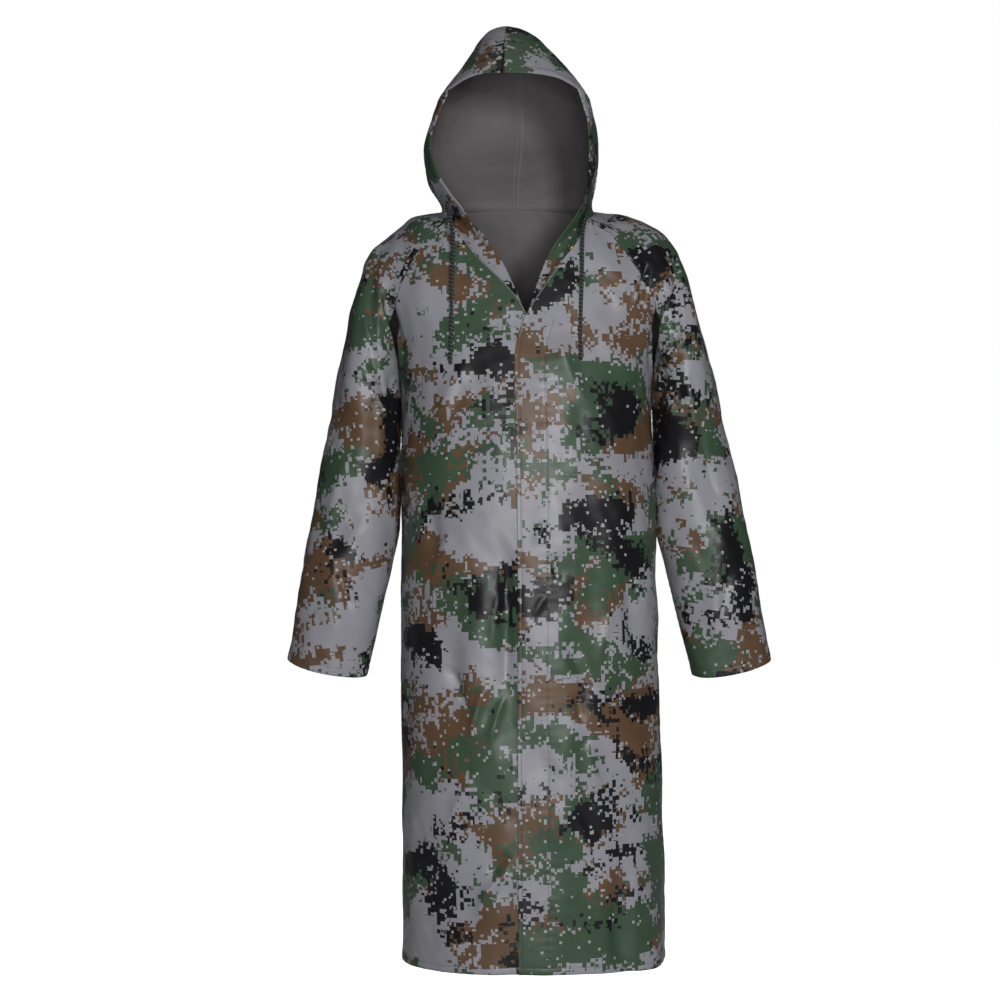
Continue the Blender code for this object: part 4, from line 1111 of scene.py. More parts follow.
def new_group(name, inputs, outputs):
    """An empty node group with named sockets; gives the tree, its inputs and its output node."""
    tree = bpy.data.node_groups.new(name, "ShaderNodeTree")
    for label, kind, default in inputs:
        socket = tree.interface.new_socket(label, in_out="INPUT", socket_type="NodeSocket" + kind)
        if default is not None:
            socket.default_value = default
    for label, kind in outputs:
        tree.interface.new_socket(label, in_out="OUTPUT", socket_type="NodeSocket" + kind)
    return tree, tree.nodes.new("NodeGroupInput").outputs, tree.nodes.new("NodeGroupOutput")


def shared_group(tree, name, make, inputs):
    """A node group placed in a material, built the first time that it is asked for."""
    group = bpy.data.node_groups.get(name) or make(name)
    return add_node(tree, "ShaderNodeGroup", inputs, node_tree=group).outputs


# The noise that each ink's blotches come from: its scale, how much it is squeezed up the
# cloth, where it starts, and its detail. Below: how much a block, a bar of blocks and a
# speck count in a ragged rim, and how rarely a speck is left open.
INKS = (
    ("ink", "scale", "squeeze", "shift", "detail"),
    ("Green", 7.2, 1.40, 5.9, 2.0),
    ("Brown", 7.6, 1.45, 14.2, 2.0),
    ("Black", 8.2, 1.30, 33.4, 1.6),
)
BAR_SQUEEZE = 0.38
BLOCK_SHARE, BAR_SHARE, SPECK_SHARE = 0.45, 0.35, 0.20
SPECK_SHIFT = 50.0
OPEN_DEPTH, OPEN_CHANCE_RIM, OPEN_CHANCE_DEEP = 0.09, 0.88, 0.99


def cell_middle(tree, place_on_cloth, size):
    """The middle of the square cell that a place on the cloth falls in."""
    sizes = add_node(tree, "ShaderNodeCombineXYZ", {0: size, 1: size, 2: 1.0}).outputs[0]
    return vector(tree, "ADD", vector(tree, "SNAP", place_on_cloth, sizes),
                  vector(tree, "MULTIPLY", sizes, (0.5, 0.5, 0.0)))


def chance(tree, cell, shift):
    """Three random numbers for a cell, others for each shift."""
    moved = vector(tree, "ADD", vector(tree, "MULTIPLY", cell, (1000.0, 1000.0, 0.0)), (shift, 0.0, 0.0))
    colour = add_node(tree, "ShaderNodeTexWhiteNoise", {0: moved}, noise_dimensions="3D").outputs["Color"]
    return add_node(tree, "ShaderNodeSeparateColor", {0: colour}).outputs


def block_print(name):
    """Blotches built of square blocks. A stretched soft noise read once a block gives the
    blotch, block and speck chances ragged its rim, and some lone specks are left open."""
    tree, given, out = new_group(
        name, (("Cloth", "Vector", None), ("Block", "Float", 0.006), ("Speck", "Float", 0.004),
               ("Green share", "Float", 0.5), ("Brown share", "Float", 0.5),
               ("Black share", "Float", 0.5), ("Scatter", "Float", 0.16)),
        (("Green", "Float"), ("Brown", "Float"), ("Black", "Float"), ("Open", "Float")))
    block = cell_middle(tree, given["Cloth"], given["Block"])
    speck = cell_middle(tree, given["Cloth"], given["Speck"])
    bar = cell_middle(tree, vector(tree, "MULTIPLY", block, (1.0, BAR_SQUEEZE, 1.0)), given["Block"])
    depth = -1.0
    for row in rows_of(INKS):
        ink, shift = row["ink"], row["shift"]
        squeezed = vector(tree, "MULTIPLY", block, (1.0, row["squeeze"], 1.0))
        soft = noise(tree, vector(tree, "ADD", squeezed, (shift, shift, shift)), row["scale"],
                     row["detail"], Roughness=0.55, Distortion=0.35)
        ragged = -0.5
        for cell, share in ((block, BLOCK_SHARE), (bar, BAR_SHARE), (speck, SPECK_SHARE)):
            ragged = calc(tree, "MULTIPLY_ADD", chance(tree, cell, shift)[1], share, ragged)
        level = calc(tree, "MULTIPLY_ADD", ragged, given["Scatter"], soft)
        above = calc(tree, "SUBTRACT", level, given[ink + " share"])
        feed(tree, out, {ink: calc(tree, "GREATER_THAN", above, 0.0)})
        depth = calc(tree, "MAXIMUM", depth, above)
    rarity = scaled(tree, depth, 0.0, OPEN_DEPTH, OPEN_CHANCE_RIM, OPEN_CHANCE_DEEP)
    lone = calc(tree, "GREATER_THAN", chance(tree, speck, SPECK_SHIFT)[0], rarity)
    feed(tree, out, {"Open": calc(tree, "MULTIPLY", lone, calc(tree, "GREATER_THAN", depth, 0.0))})
    return tree


def plain_weave(name):
    """A plain weave: threads over and under, the product of two sines, with slubs."""
    tree, given, out = new_group(name, (("Cloth", "Vector", None), ("Threads", "Float", 1800.0)),
                                 (("Height", "Float"), ("Slub", "Float")))
    parts = add_node(tree, "ShaderNodeSeparateXYZ", {0: given["Cloth"]}).outputs
    rate = calc(tree, "MULTIPLY", given["Threads"], math.pi)
    over, under = (calc(tree, "SINE", calc(tree, "MULTIPLY", part, rate)) for part in parts[:2])
    crossed = calc(tree, "MULTIPLY", over, under)
    slubs = vector(tree, "MULTIPLY", given["Cloth"], (30.0, 700.0, 1.0))
    feed(tree, out, {"Height": calc(tree, "MULTIPLY_ADD", crossed, 0.5, 0.5),
                     "Slub": noise(tree, slubs, 1.0)})
    return tree


# ---------------------------------------------------------------- materials

def once(make):
    """A material that is made on its first use and then shared: the function gets its new
    tree and gives the inputs of its shader."""
    @functools.wraps(make)
    def shared():
        return bpy.data.materials.get(make.__name__) or new_material(make.__name__, make)
    return shared


def new_material(name, make):
    """A material of one Principled shader, fed by a function that is given its tree."""
    material = bpy.data.materials.new(name)
    material.use_nodes = True
    tree = material.node_tree
    feed(tree, tree.nodes["Principled BSDF"], make(tree))
    return material


@once
def printed_cloth(tree):
    """Coated polyester with a block print: four inks, a faint weave and a soft gloss."""
    sizes = bpy.context.scene.raincoat_print
    flat = on_cloth(tree)
    inks = shared_group(tree, "block print", block_print, {
        "Cloth": flat, "Block": sizes.block, "Speck": sizes.speck, "Scatter": sizes.scatter,
        "Green share": sizes.green_level, "Brown share": sizes.brown_level,
        "Black share": sizes.black_level})
    weave = shared_group(tree, "plain weave", plain_weave, {"Cloth": flat})
    cloudy = noise(tree, flat, 13.0, 3.0)
    colour = opaque(sizes.grey)
    for ink, over in (("Brown", sizes.brown), ("Green", sizes.green), ("Black", sizes.black),
                      ("Open", sizes.open_grey)):
        colour = mix(tree, inks[ink], colour, opaque(over))
    shade = calc(tree, "MULTIPLY", scaled(tree, cloudy, 0.25, 0.75, 0.92, 1.08),
                 scaled(tree, weave["Slub"], 0.3, 0.7, 0.985, 1.015))
    shades = add_node(tree, "ShaderNodeCombineXYZ", {0: shade, 1: shade, 2: shade}).outputs[0]
    return {"Base Color": vector(tree, "MULTIPLY", colour, shades),
            "Roughness": scaled(tree, cloudy, 0.3, 0.7, 0.33, 0.43),
            "Normal": bumped(tree, weave["Height"], 0.10, 0.0003),
            "Specular IOR Level": 0.34}


@once
def coated_inside(tree):
    """The waterproof coating inside: dark warm grey with a dull sheen and a faint grain."""
    inside = bpy.context.scene.raincoat_print.inside
    flat = on_cloth(tree)
    weave = shared_group(tree, "plain weave", plain_weave, {"Cloth": flat})
    cloudy = scaled(tree, noise(tree, flat, 9.0, 3.0), 0.3, 0.7, 0.0, 1.0)
    return {"Base Color": mix(tree, cloudy, opaque(inside, 0.86), opaque(inside)),
            "Roughness": scaled(tree, weave["Slub"], 0.3, 0.7, 0.62, 0.72),
            "Normal": bumped(tree, weave["Height"], 0.12, 0.0003),
            "Specular IOR Level": 0.22}


def twisted_thread(tree, colour):
    """Twisted polyester thread: fine slanting plies in its bump, and painted shade that darkens the
    colour in the grooves between them.
    """
    slant = {"Vector": in_coat(tree), "Scale": 620.0, "Distortion": 2.0}
    plies = add_node(tree, "ShaderNodeTexWave", slant, wave_type="BANDS",
                     bands_direction="DIAGONAL").outputs[1]
    # Painted shade: the colour falls to six tenths where the plies' bump is low.
    return {"Base Color": mix(tree, plies, opaque(colour, 0.6), opaque(colour)),
            "Normal": bumped(tree, plies, 0.4, 0.0002), "Roughness": 0.55}


@once
def grey_thread(tree):
    """Thread of the hems and the placket."""
    return twisted_thread(tree, bpy.context.scene.raincoat_trim.thread)


@once
def light_thread(tree):
    """Paler thread of the neckline and the hood's inner seam."""
    return twisted_thread(tree, bpy.context.scene.raincoat_trim.light_thread)


@once
def drawcord_braid(tree):
    """Braided cord: slanting strands, some of them lighter; reads the turn round the cord
    and the distance along it."""
    trim = bpy.context.scene.raincoat_trim
    on_cord = add_node(tree, "ShaderNodeUVMap", uv_map="cord").outputs[0]
    parts = add_node(tree, "ShaderNodeSeparateXYZ", {0: on_cord}).outputs
    along = calc(tree, "MULTIPLY", parts[1], 2 * math.pi / trim.braid_pitch)
    turn = calc(tree, "MULTIPLY", parts[0], 2 * math.pi)
    slant = calc(tree, "SINE", calc(tree, "ADD", along, turn))
    other = calc(tree, "SINE", calc(tree, "SUBTRACT", calc(tree, "MULTIPLY", turn, 3.0), along))
    light = calc(tree, "MULTIPLY", scaled(tree, slant, 0.30, 0.60, 0.0, 1.0),
                 scaled(tree, other, -0.30, 0.10, 0.0, 1.0))
    fuzz = noise(tree, in_coat(tree), 900.0)
    strands = mix(tree, light, opaque(trim.cord_dark), opaque(trim.cord_light))
    return {"Base Color": mix(tree, calc(tree, "MULTIPLY", fuzz, 0.25), strands, opaque(trim.cord_dark)),
            "Normal": bumped(tree, fuzz, 0.5, 0.0003), "Roughness": 0.6}


@once
def aged_brass(tree):
    """Stamped brass, a little tarnished in patches."""
    brass = bpy.context.scene.raincoat_trim.brass
    cloudy = noise(tree, in_coat(tree), 420.0, 4.0)
    worn = scaled(tree, cloudy, 0.35, 0.65, 0.0, 1.0)
    return {"Base Color": mix(tree, worn, opaque(brass, 0.45), opaque(brass)),
            "Roughness": scaled(tree, cloudy, 0.3, 0.7, 0.38, 0.22), "Metallic": 1.0}


@once
def dark_hollow(tree):
    """Painted shade for the inside of a hole or well: nearly black, with faint mottling."""
    mottled = noise(tree, in_coat(tree), 500.0)
    return {"Base Color": mix(tree, mottled, opaque((0.004, 0.004, 0.004)), opaque((0.02, 0.018, 0.016))),
            "Roughness": 0.7}


@once
def pale_card(tree):
    """The floor: plain pale card, white where the camera sees it."""
    mottled = noise(tree, in_coat(tree), 60.0)
    seen = add_node(tree, "ShaderNodeLightPath").outputs["Is Camera Ray"]
    return {"Base Color": mix(tree, mottled, opaque((0.50, 0.50, 0.50)), opaque((0.53, 0.53, 0.53))),
            "Roughness": 0.9, "Emission Color": opaque((1.0, 1.0, 1.0)), "Emission Strength": seen}


# ---------------------------------------------------------------- meshes

# The hood's centre seam: where it ends at the top, and its band's rows as the way from the
# seam and the rise over the coating.
SEAM_TOP_Z = 0.275
SEAM_BAND = ((0.0058, -0.0003), (0.0050, 0.0004), (0.0030, 0.0005), (0.0012, 0.0006), (0.0, 0.0006))

# Stitches: three widths, height and lift as shares of the width, shoulders and ends as
# shares of the length and height, points round one, and how far off the line is read.
STITCH, NECK_STITCH, HOOD_STITCH = 0.0007, 0.0014, 0.0009
STITCH_HEIGHT, STITCH_LIFT = 0.55, 0.18
STITCH_SHOULDER, STITCH_END_DROP = 0.27, 0.6
STITCH_SIDES, STITCH_AIM = 5, 0.001

# Cord: points of its smooth route, step along it, points round it, strands as shares of
# the radius, and a rounded end as a share of the diameter.
ROUTE_POINTS, BRAID_STEP, BRAID_ROUND = 600, 0.0007, 25
BRAID_MEAN, BRAID_SWELL, BRAID_PHASE = 0.91, 0.09, 1.2
BRAID_END = 0.35

# Brass: points round a turned piece, the rolled ring of an eyelet and the well inside it,
# and the half section of the snap, whose first points are its well, painted near black as shade.
TURNED_ROUND = 49
FLANGE_RADIUS, FLANGE_HALF = 0.0045, 0.0011
FLANGE_LEVEL, FLANGE_RISE, FLANGE_POINTS = 0.0002, 0.0010, 9
FLANGE_WELL = ((0.0, -0.0006), (0.0033, -0.0004))
STUD = ((0.0, 0.0004), (0.0016, 0.0005), (0.0024, 0.0009), (0.0029, 0.0017), (0.0038, 0.0022),
        (0.0047, 0.0020), (0.0054, 0.0014), (0.0057, 0.0007), (0.0057, -0.0004))
SNAP_WELL_POINTS = 3


def add_object(name, mesh):
    """A smooth piece of this mesh that rides with the coat."""
    mesh.shade_smooth()
    piece = bpy.data.objects.new(name, mesh)
    bpy.context.scene.collection.objects.link(piece)
    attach(piece, "root")
    return piece


def add_piece(name, points, faces, materials, uv=None, uv_name="cloth", face_slots=None):
    """A smooth mesh piece in the coat's frame; its touching points are merged."""
    mesh = bpy.data.meshes.new(name)
    mesh.from_pydata(points.reshape(-1, 3).tolist(), [], faces.tolist())
    if uv is not None:
        layer = mesh.uv_layers.new(name=uv_name)
        corners = np.empty(len(mesh.loops), dtype=np.int32)
        mesh.loops.foreach_get("vertex_index", corners)
        layer.data.foreach_set("uv", uv.reshape(-1, 2)[corners].ravel())
    for material in materials:
        mesh.materials.append(material)
    if face_slots is not None:
        mesh.polygons.foreach_set("material_index", face_slots)
    work = bmesh.new()
    work.from_mesh(mesh)
    bmesh.ops.remove_doubles(work, verts=work.verts, dist=1e-6)
    loose = [vert for vert in work.verts if not vert.link_faces]
    bmesh.ops.delete(work, geom=loose, context="VERTS")
    work.to_mesh(mesh)
    work.free()
    return add_object(name, mesh)


def grid_faces(rows, columns, turned=False, keep=None):
    """Four-cornered faces of a grid of points, one way round or the other."""
    first = np.arange(rows - 1)[:, None] * columns + np.arange(columns - 1)[None, :]
    faces = np.stack([first, first + 1, first + columns + 1, first + columns], axis=-1)
    faces = faces.reshape(-1, 4) if keep is None else faces[keep]
    return faces[:, ::-1] if turned else faces


def carrying(run, picks):
    """Weights that carry values at picked places of a run to all its places, on straight
    lines between the picks and on beyond the last of them."""
    marks = run[picks]
    low = np.clip(np.searchsorted(marks, run, side="right") - 1, 0, len(marks) - 2)
    share = (run - marks[low]) / (marks[low + 1] - marks[low])
    weights = np.zeros((len(run), len(marks)))
    weights[np.arange(len(run)), low] = 1 - share
    weights[np.arange(len(run)), low + 1] = share
    return weights


def picked(usable, turns):
    """Every few of the usable rows or columns, with the first, the last and those where
    the faces that are kept change."""
    usable = np.flatnonzero(usable)
    return np.array(sorted({*usable[::NET_STEP], usable[-1], *turns}))


def lay_flat(panel):
    """Where a panel's points lie on the flat cloth. A coarse net of it is unfolded with the
    least stretch, then turned and moved at true size to lie as the panel's rough layout
    does (the turn of least squared distance), and carried to the points between."""
    row_turns = np.flatnonzero(np.diff(panel.keep[:, 0])) + 1
    column_turns = np.flatnonzero(np.diff(panel.keep[0])) + 1
    rows = picked(lengths(panel.grid) > NET_LEAST_ROW, row_turns)
    columns = picked(np.ones(panel.grid.shape[1], dtype=bool), column_turns)
    net, rough = panel.grid[np.ix_(rows, columns)], panel.flat[np.ix_(rows, columns)]
    net_kept = panel.keep[np.ix_(rows[:-1], columns[:-1])]
    faces = grid_faces(len(rows), len(columns), panel.side < 0, net_kept)
    mesh = bpy.data.meshes.new("net")
    mesh.from_pydata(net.reshape(-1, 3).tolist(), [], faces.tolist())
    mesh.uv_layers.new(name="net")
    piece = bpy.data.objects.new("net", mesh)
    bpy.context.scene.collection.objects.link(piece)
    bpy.context.view_layer.objects.active = piece
    piece.select_set(True)
    bpy.ops.object.mode_set(mode="EDIT")
    bpy.ops.mesh.select_all(action="SELECT")
    bpy.ops.uv.unwrap(method="MINIMUM_STRETCH", margin=0.0, iterations=12)
    bpy.ops.object.mode_set(mode="OBJECT")
    corners, points = np.empty(2 * len(mesh.loops)), np.empty(len(mesh.loops), dtype=np.int32)
    mesh.uv_layers["net"].data.foreach_get("uv", corners)
    mesh.loops.foreach_get("vertex_index", points)
    area = sum(face.area for face in mesh.polygons)
    bpy.data.objects.remove(piece)

    rough = (rough[..., 0] + 1j * rough[..., 1]).ravel()
    laid = corners[::2] + 1j * corners[1::2]
    quads = laid.reshape(-1, 4)
    across = np.conj(quads[:, 2] - quads[:, 0]) * (quads[:, 3] - quads[:, 1])
    laid -= laid.mean()
    aim = rough[points] - rough[points].mean()
    straight, mirrored = np.vdot(laid, aim), np.vdot(np.conj(laid), aim)
    if abs(mirrored) > abs(straight):
        laid, straight = np.conj(laid), mirrored
    size = math.sqrt(2 * area / np.abs(across.imag).sum())
    flat = rough.copy()
    flat[points] = laid * straight / abs(straight) * size + rough[points].mean()
    flat = (carrying(reach(panel.grid, 0).mean(axis=1), rows) @ flat.reshape(len(rows), -1)
            @ carrying(reach(panel.grid, 1).mean(axis=0), columns).T)
    return np.stack([flat.real, flat.imag], axis=-1)


def add_cloth(panel):
    """A panel's shell: its outer face, thickened inwards, printed outside and coated inside.
    Each panel takes its print from another place on the cloth."""
    rows, columns = panel.grid.shape[:2]
    start = (sum(ord(letter) for letter in panel.node) % PRINT_STARTS) * PRINT_STEP
    piece = add_piece("cloth_" + panel.node, panel.grid,
                      grid_faces(rows, columns, panel.side < 0, panel.keep),
                      (printed_cloth(), coated_inside()),
                      lay_flat(panel) + np.array([start, PRINT_SLOPE * start]))
    wall = piece.modifiers.new("wall", "SOLIDIFY")
    wall.thickness, wall.offset = cloth().wall, -1.0
    wall.material_offset = 1
    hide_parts(panel.node)


def stitch_shape(length, width):
    """One stitch: two rings between pointed ends, longer than wide, flat below."""
    height = width * STITCH_HEIGHT
    ring = 2 * math.pi * np.arange(STITCH_SIDES) / STITCH_SIDES
    section = np.stack([0 * ring, np.cos(ring) * width / 2, np.sin(ring) * height], axis=1)
    drop, shoulder = -height * STITCH_END_DROP, length * STITCH_SHOULDER
    points = np.concatenate(([[-length / 2, 0, drop]], section + [-shoulder, 0, 0],
                             section + [shoulder, 0, 0], [[length / 2, 0, drop]]))
    around = np.arange(STITCH_SIDES)
    near, after = 1 + around, 1 + (around + 1) % STITCH_SIDES
    quads = np.stack([near, near + STITCH_SIDES, after + STITCH_SIDES, after], axis=1)
    front = np.stack([0 * around, near, after], axis=1)
    back = np.stack([0 * around + len(points) - 1, after + STITCH_SIDES, near + STITCH_SIDES], axis=1)
    return points, quads, np.concatenate((front, back))


def read_along(along, values, where):
    """Values of a line's points, read at distances along the line."""
    return np.stack([np.interp(where, along, values[:, axis]) for axis in range(3)], axis=1)


def add_stitches(name, runs, material, width=STITCH):
    """Rows of stitches joined in one mesh: a stitch at even steps along each line, turned
    along the line and out of the cloth."""
    sizes = bpy.context.scene.raincoat_trim
    shape, quads, triangles = stitch_shape(sizes.stitch_length, width)
    points = []
    for line, normals in runs:
        along = along_line(line)
        count = max(2, round(along[-1] / sizes.stitch_pitch))
        at = (np.arange(count) + 0.5) * along[-1] / count
        up = unit(read_along(along, normals, at))
        before, after = (read_along(along, line, at + aim) for aim in (-STITCH_AIM, STITCH_AIM))
        ahead = unit(after - before)
        up = unit(up - ahead * (up * ahead).sum(axis=1, keepdims=True))
        basis = np.stack([ahead, np.cross(up, ahead), up], axis=1)
        middle = read_along(along, line, at) + up * width * STITCH_LIFT
        points.append(middle[:, None, :] + np.einsum("pk,nkc->npc", shape, basis))
    points = np.concatenate(points)
    start = np.arange(len(points))[:, None, None] * len(shape)
    faces = ((quads[None] + start).reshape(-1, 4).tolist()
             + (triangles[None] + start).reshape(-1, 3).tolist())
    mesh = bpy.data.meshes.new(name)
    mesh.from_pydata(points.reshape(-1, 3).tolist(), [], faces)
    mesh.materials.append(material)
    add_object(name, mesh)


def frames_along(path):
    """Directions along and across a path that hangs down the front: across is square to
    the path and to the way the wearer faces."""
    ahead = unit(np.gradient(path, axis=0))
    side = unit(np.cross(ahead, [0.0, 1.0, 0.0]))
    return side, np.cross(ahead, side)


def add_braid(name, route, diameter, pitch):
    """A braided tube on a smooth curve through the route: its radius swells where either
    of two families of slanting strands lies on top, and closes to round ends."""
    route = np.array(route)
    along = along_line(route)
    dense = spline(along, route, np.linspace(0, along[-1], ROUTE_POINTS))
    total = np.linalg.norm(np.diff(dense, axis=0), axis=1).sum()
    count = round(total / BRAID_STEP)
    path = at_shares(dense[None], np.linspace(0, 1, count)[None])[0]
    far = np.linspace(0, total, count)[:, None]
    side, across = frames_along(path)
    turn = np.linspace(0, 2 * math.pi, BRAID_ROUND)[None, :]
    slant = 2 * math.pi * far / pitch
    relief = np.maximum(np.sin(slant + 2 * turn), np.sin(slant - 2 * turn + BRAID_PHASE))
    ends = np.clip(np.minimum(far, total - far) / (BRAID_END * diameter), 0, 1)
    closing = np.sqrt(np.clip(1 - (1 - ends) ** 2, 0, 1))
    radius = diameter / 2 * (BRAID_MEAN + BRAID_SWELL * relief) * closing
    points = (path[:, None] + side[:, None] * (np.cos(turn) * radius)[..., None]
              + across[:, None] * (np.sin(turn) * radius)[..., None])
    uv = np.stack(np.broadcast_arrays(turn / (2 * math.pi), far), axis=-1)
    piece = add_piece(name, points, grid_faces(count, BRAID_ROUND, True), (drawcord_braid(),),
                      uv, "cord")
    return piece, path, total


def add_centre_seam():
    """The hood's flat inner seam: a low band from one row of stitches to the other, its
    long edges sunk in the coating."""
    across = []
    for side, order in ((-1, 1), (1, -1)):
        hood = hood_panel(side)
        low = hood.grid[:, -1, 2] < SEAM_TOP_Z
        columns = []
        for away, rise in SEAM_BAND[::order]:
            points, normals = hood.line(away, from_end=True, part=low)
            columns.append(points - normals * (cloth().wall + rise))
        across.append(np.stack(columns, axis=1))
    middle = (across[0][:, -1:] + across[1][:, :1]) / 2
    grid = np.concatenate((across[0][:, :-1], middle, across[1][:, 1:]), axis=1)
    turned = outward(grid, HOOD_MIDDLE)[1] > 0
    add_piece("seam_hood", grid, grid_faces(*grid.shape[:2], turned), (coated_inside(),),
              np.stack([reach(grid, 1), reach(grid, 0)], axis=-1))


def add_turned(name, profile, spot, out, well_points):
    """A turned brass piece: a half section carried once round an axis that points out of
    the cloth. The last points of the section line a well painted near black as shade."""
    profile = np.array(profile)
    side = unit(np.cross(out, [0.0, 0.0, 1.0]))
    across = np.cross(out, side)
    turn = np.linspace(0, 2 * math.pi, TURNED_ROUND)[:, None]
    ring = np.cos(turn)[..., None] * side + np.sin(turn)[..., None] * across
    points = spot + ring * profile[None, :, :1] + out * profile[None, :, 1:]
    faces = np.tile(np.arange(len(profile) - 1), TURNED_ROUND - 1)
    # The well's faces take a near-black material: painted shade inside the hole.
    return add_piece(name, points, grid_faces(TURNED_ROUND, len(profile), True),
                     (aged_brass(), dark_hollow()),
                     face_slots=(faces >= len(profile) - well_points).astype(np.int32))


def ground_at(panel, spot):
    """The point of a panel's outer face nearest to a spot."""
    apart = ((panel.grid - spot) ** 2).sum(axis=2)
    return panel.grid[np.unravel_index(apart.argmin(), apart.shape)]


# ---------------------------------------------------------------- settings

class ClothSettings(bpy.types.PropertyGroup):
    """Sizes of the cloth."""
    wall: FloatProperty(
        name="Wall", description="Thickness of the coated cloth", default=0.0012, min=0.0002,
        unit="LENGTH")
    ripple: FloatProperty(
        name="Ripple", description="Height of the soft waves between the folds", default=0.0012,
        min=0.0, unit="LENGTH")
    crease: FloatProperty(
        name="Crease", description="How high the creases stand, times their listed height",
        default=3.1, min=0.0)
    pucker: FloatProperty(
        name="Pucker", description="Height of the gathers along sewn lines", default=0.00035,
        min=0.0, unit="LENGTH")


class PrintSettings(bpy.types.PropertyGroup):
    """The block print and the inner coating."""
    block: FloatProperty(
        name="Block", description="Side of the blocks that a blotch is built of", default=0.0062,
        min=0.001, unit="LENGTH")
    speck: FloatProperty(
        name="Speck", description="Side of a lone speck", default=0.0040, min=0.001, unit="LENGTH")
    scatter: FloatProperty(
        name="Scatter", description="How ragged the blotches' rims are", default=0.19, min=0.0,
        max=1.0, subtype="FACTOR")
    green_level: FloatProperty(
        name="Green level", description="Noise level above which green is printed", default=0.531,
        min=0.0, max=1.0, subtype="FACTOR")
    brown_level: FloatProperty(
        name="Brown level", description="Noise level above which brown is printed", default=0.533,
        min=0.0, max=1.0, subtype="FACTOR")
    black_level: FloatProperty(
        name="Black level", description="Noise level above which black is printed", default=0.588,
        min=0.0, max=1.0, subtype="FACTOR")
    grey: FloatVectorProperty(
        name="Grey", description="Ground colour of the cloth", default=(0.285, 0.285, 0.315),
        min=0.0, max=1.0, subtype="COLOR")
    open_grey: FloatVectorProperty(
        name="Open grey", description="Colour of the specks left open in a blotch",
        default=(0.34, 0.34, 0.35), min=0.0, max=1.0, subtype="COLOR")
    green: FloatVectorProperty(
        name="Green", description="Green ink", default=(0.046, 0.083, 0.049), min=0.0, max=1.0,
        subtype="COLOR")
    brown: FloatVectorProperty(
        name="Brown", description="Brown ink", default=(0.118, 0.069, 0.038), min=0.0, max=1.0,
        subtype="COLOR")
    black: FloatVectorProperty(
        name="Black", description="Dark ink", default=(0.008, 0.008, 0.010), min=0.0, max=1.0,
        subtype="COLOR")
    inside: FloatVectorProperty(
        name="Inside", description="Coating inside the coat", default=(0.168, 0.156, 0.159),
        min=0.0, max=1.0, subtype="COLOR")


class TrimSettings(bpy.types.PropertyGroup):
    """Cords, thread and brass."""
    cord_diameter: FloatProperty(
        name="Cord", description="Diameter of the drawcord", default=0.0060, min=0.002,
        unit="LENGTH")
    braid_pitch: FloatProperty(
        name="Braid pitch", description="Length of one turn of the braid", default=0.0062,
        min=0.002, unit="LENGTH")
    cord_dark: FloatVectorProperty(
        name="Dark strand", description="Dark strands of the cord", default=(0.004, 0.006, 0.006),
        min=0.0, max=1.0, subtype="COLOR")
    cord_light: FloatVectorProperty(
        name="Light strand", description="Lighter strands of the cord",
        default=(0.120, 0.155, 0.152), min=0.0, max=1.0, subtype="COLOR")
    stitch_length: FloatProperty(
        name="Stitch", description="Length of a stitch", default=0.0026, min=0.0005, unit="LENGTH")
    stitch_pitch: FloatProperty(
        name="Stitch pitch", description="Distance from one stitch to the next", default=0.0034,
        min=0.0010, unit="LENGTH")
    thread: FloatVectorProperty(
        name="Thread", description="Thread of the hems and the placket", default=(0.10, 0.10, 0.11),
        min=0.0, max=1.0, subtype="COLOR")
    light_thread: FloatVectorProperty(
        name="Light thread", description="Thread of the neckline", default=(0.52, 0.51, 0.48),
        min=0.0, max=1.0, subtype="COLOR")
    brass: FloatVectorProperty(
        name="Brass", description="Eyelets and snap", default=(0.72, 0.52, 0.24), min=0.0, max=1.0,
        subtype="COLOR")


class StageSettings(bpy.types.PropertyGroup):
    """Floor, lights and camera."""
    floor_level: FloatProperty(
        name="Floor", description="Height of the floor below the shoulders", default=-1.50,
        unit="LENGTH")
    key_power: FloatProperty(
        name="Key light", description="Power of the large light in front", default=38.0, min=0.0,
        unit="POWER")
    fill_power: FloatProperty(
        name="Fill light", description="Power of the second light", default=27.0, min=0.0,
        unit="POWER")
    top_power: FloatProperty(
        name="Top light", description="Power of the light overhead", default=5.0, min=0.0,
        unit="POWER")
    back_power: FloatProperty(
        name="Back light", description="Power of the light behind the coat", default=60.0, min=0.0,
        unit="POWER")
    surround: FloatProperty(
        name="Surround", description="Brightness of the room's light", default=0.06, min=0.0)
    camera_place: FloatVectorProperty(
        name="Camera", description="Place of the camera", default=(-0.048, -3.0, -0.459),
        subtype="TRANSLATION", unit="LENGTH")
    lens: FloatProperty(
        name="Lens", description="Focal length in millimetres", default=67.5, min=10.0)


# ---------------------------------------------------------------- operators

# Lights: the place and the side of each square lamp. All face one point of the coat.
LIGHTS = (
    ("name", "place", "side"),
    ("key", (0.85, -2.9, 0.15), 0.5),
    ("fill", (-0.20, -3.1, -0.50), 0.8),
    ("top", (0.0, -0.4, 1.9), 1.6),
    ("back", (0.1, 3.4, 0.1), 1.2),
)
LIGHT_AIM = Vector((0.0, 0.0, -0.42))
SKY = (0.95, 0.97, 1.0)
FLOOR_RADIUS, FLOOR_SIDES = 9, 96

# Levels between which the closure edge and the neckline are stitched, the first yoke row
# of the raglan stitches, and how far the hood's stitches stand on the coating.
CLOSURE_STITCH_TOP_Z = -0.200
NECK_STITCH_LOW_Z, NECK_STITCH_TOP_Z = -0.215, -0.024
RAGLAN_STITCH_ROW = 2
HOOD_STITCH_RISE = 0.0004


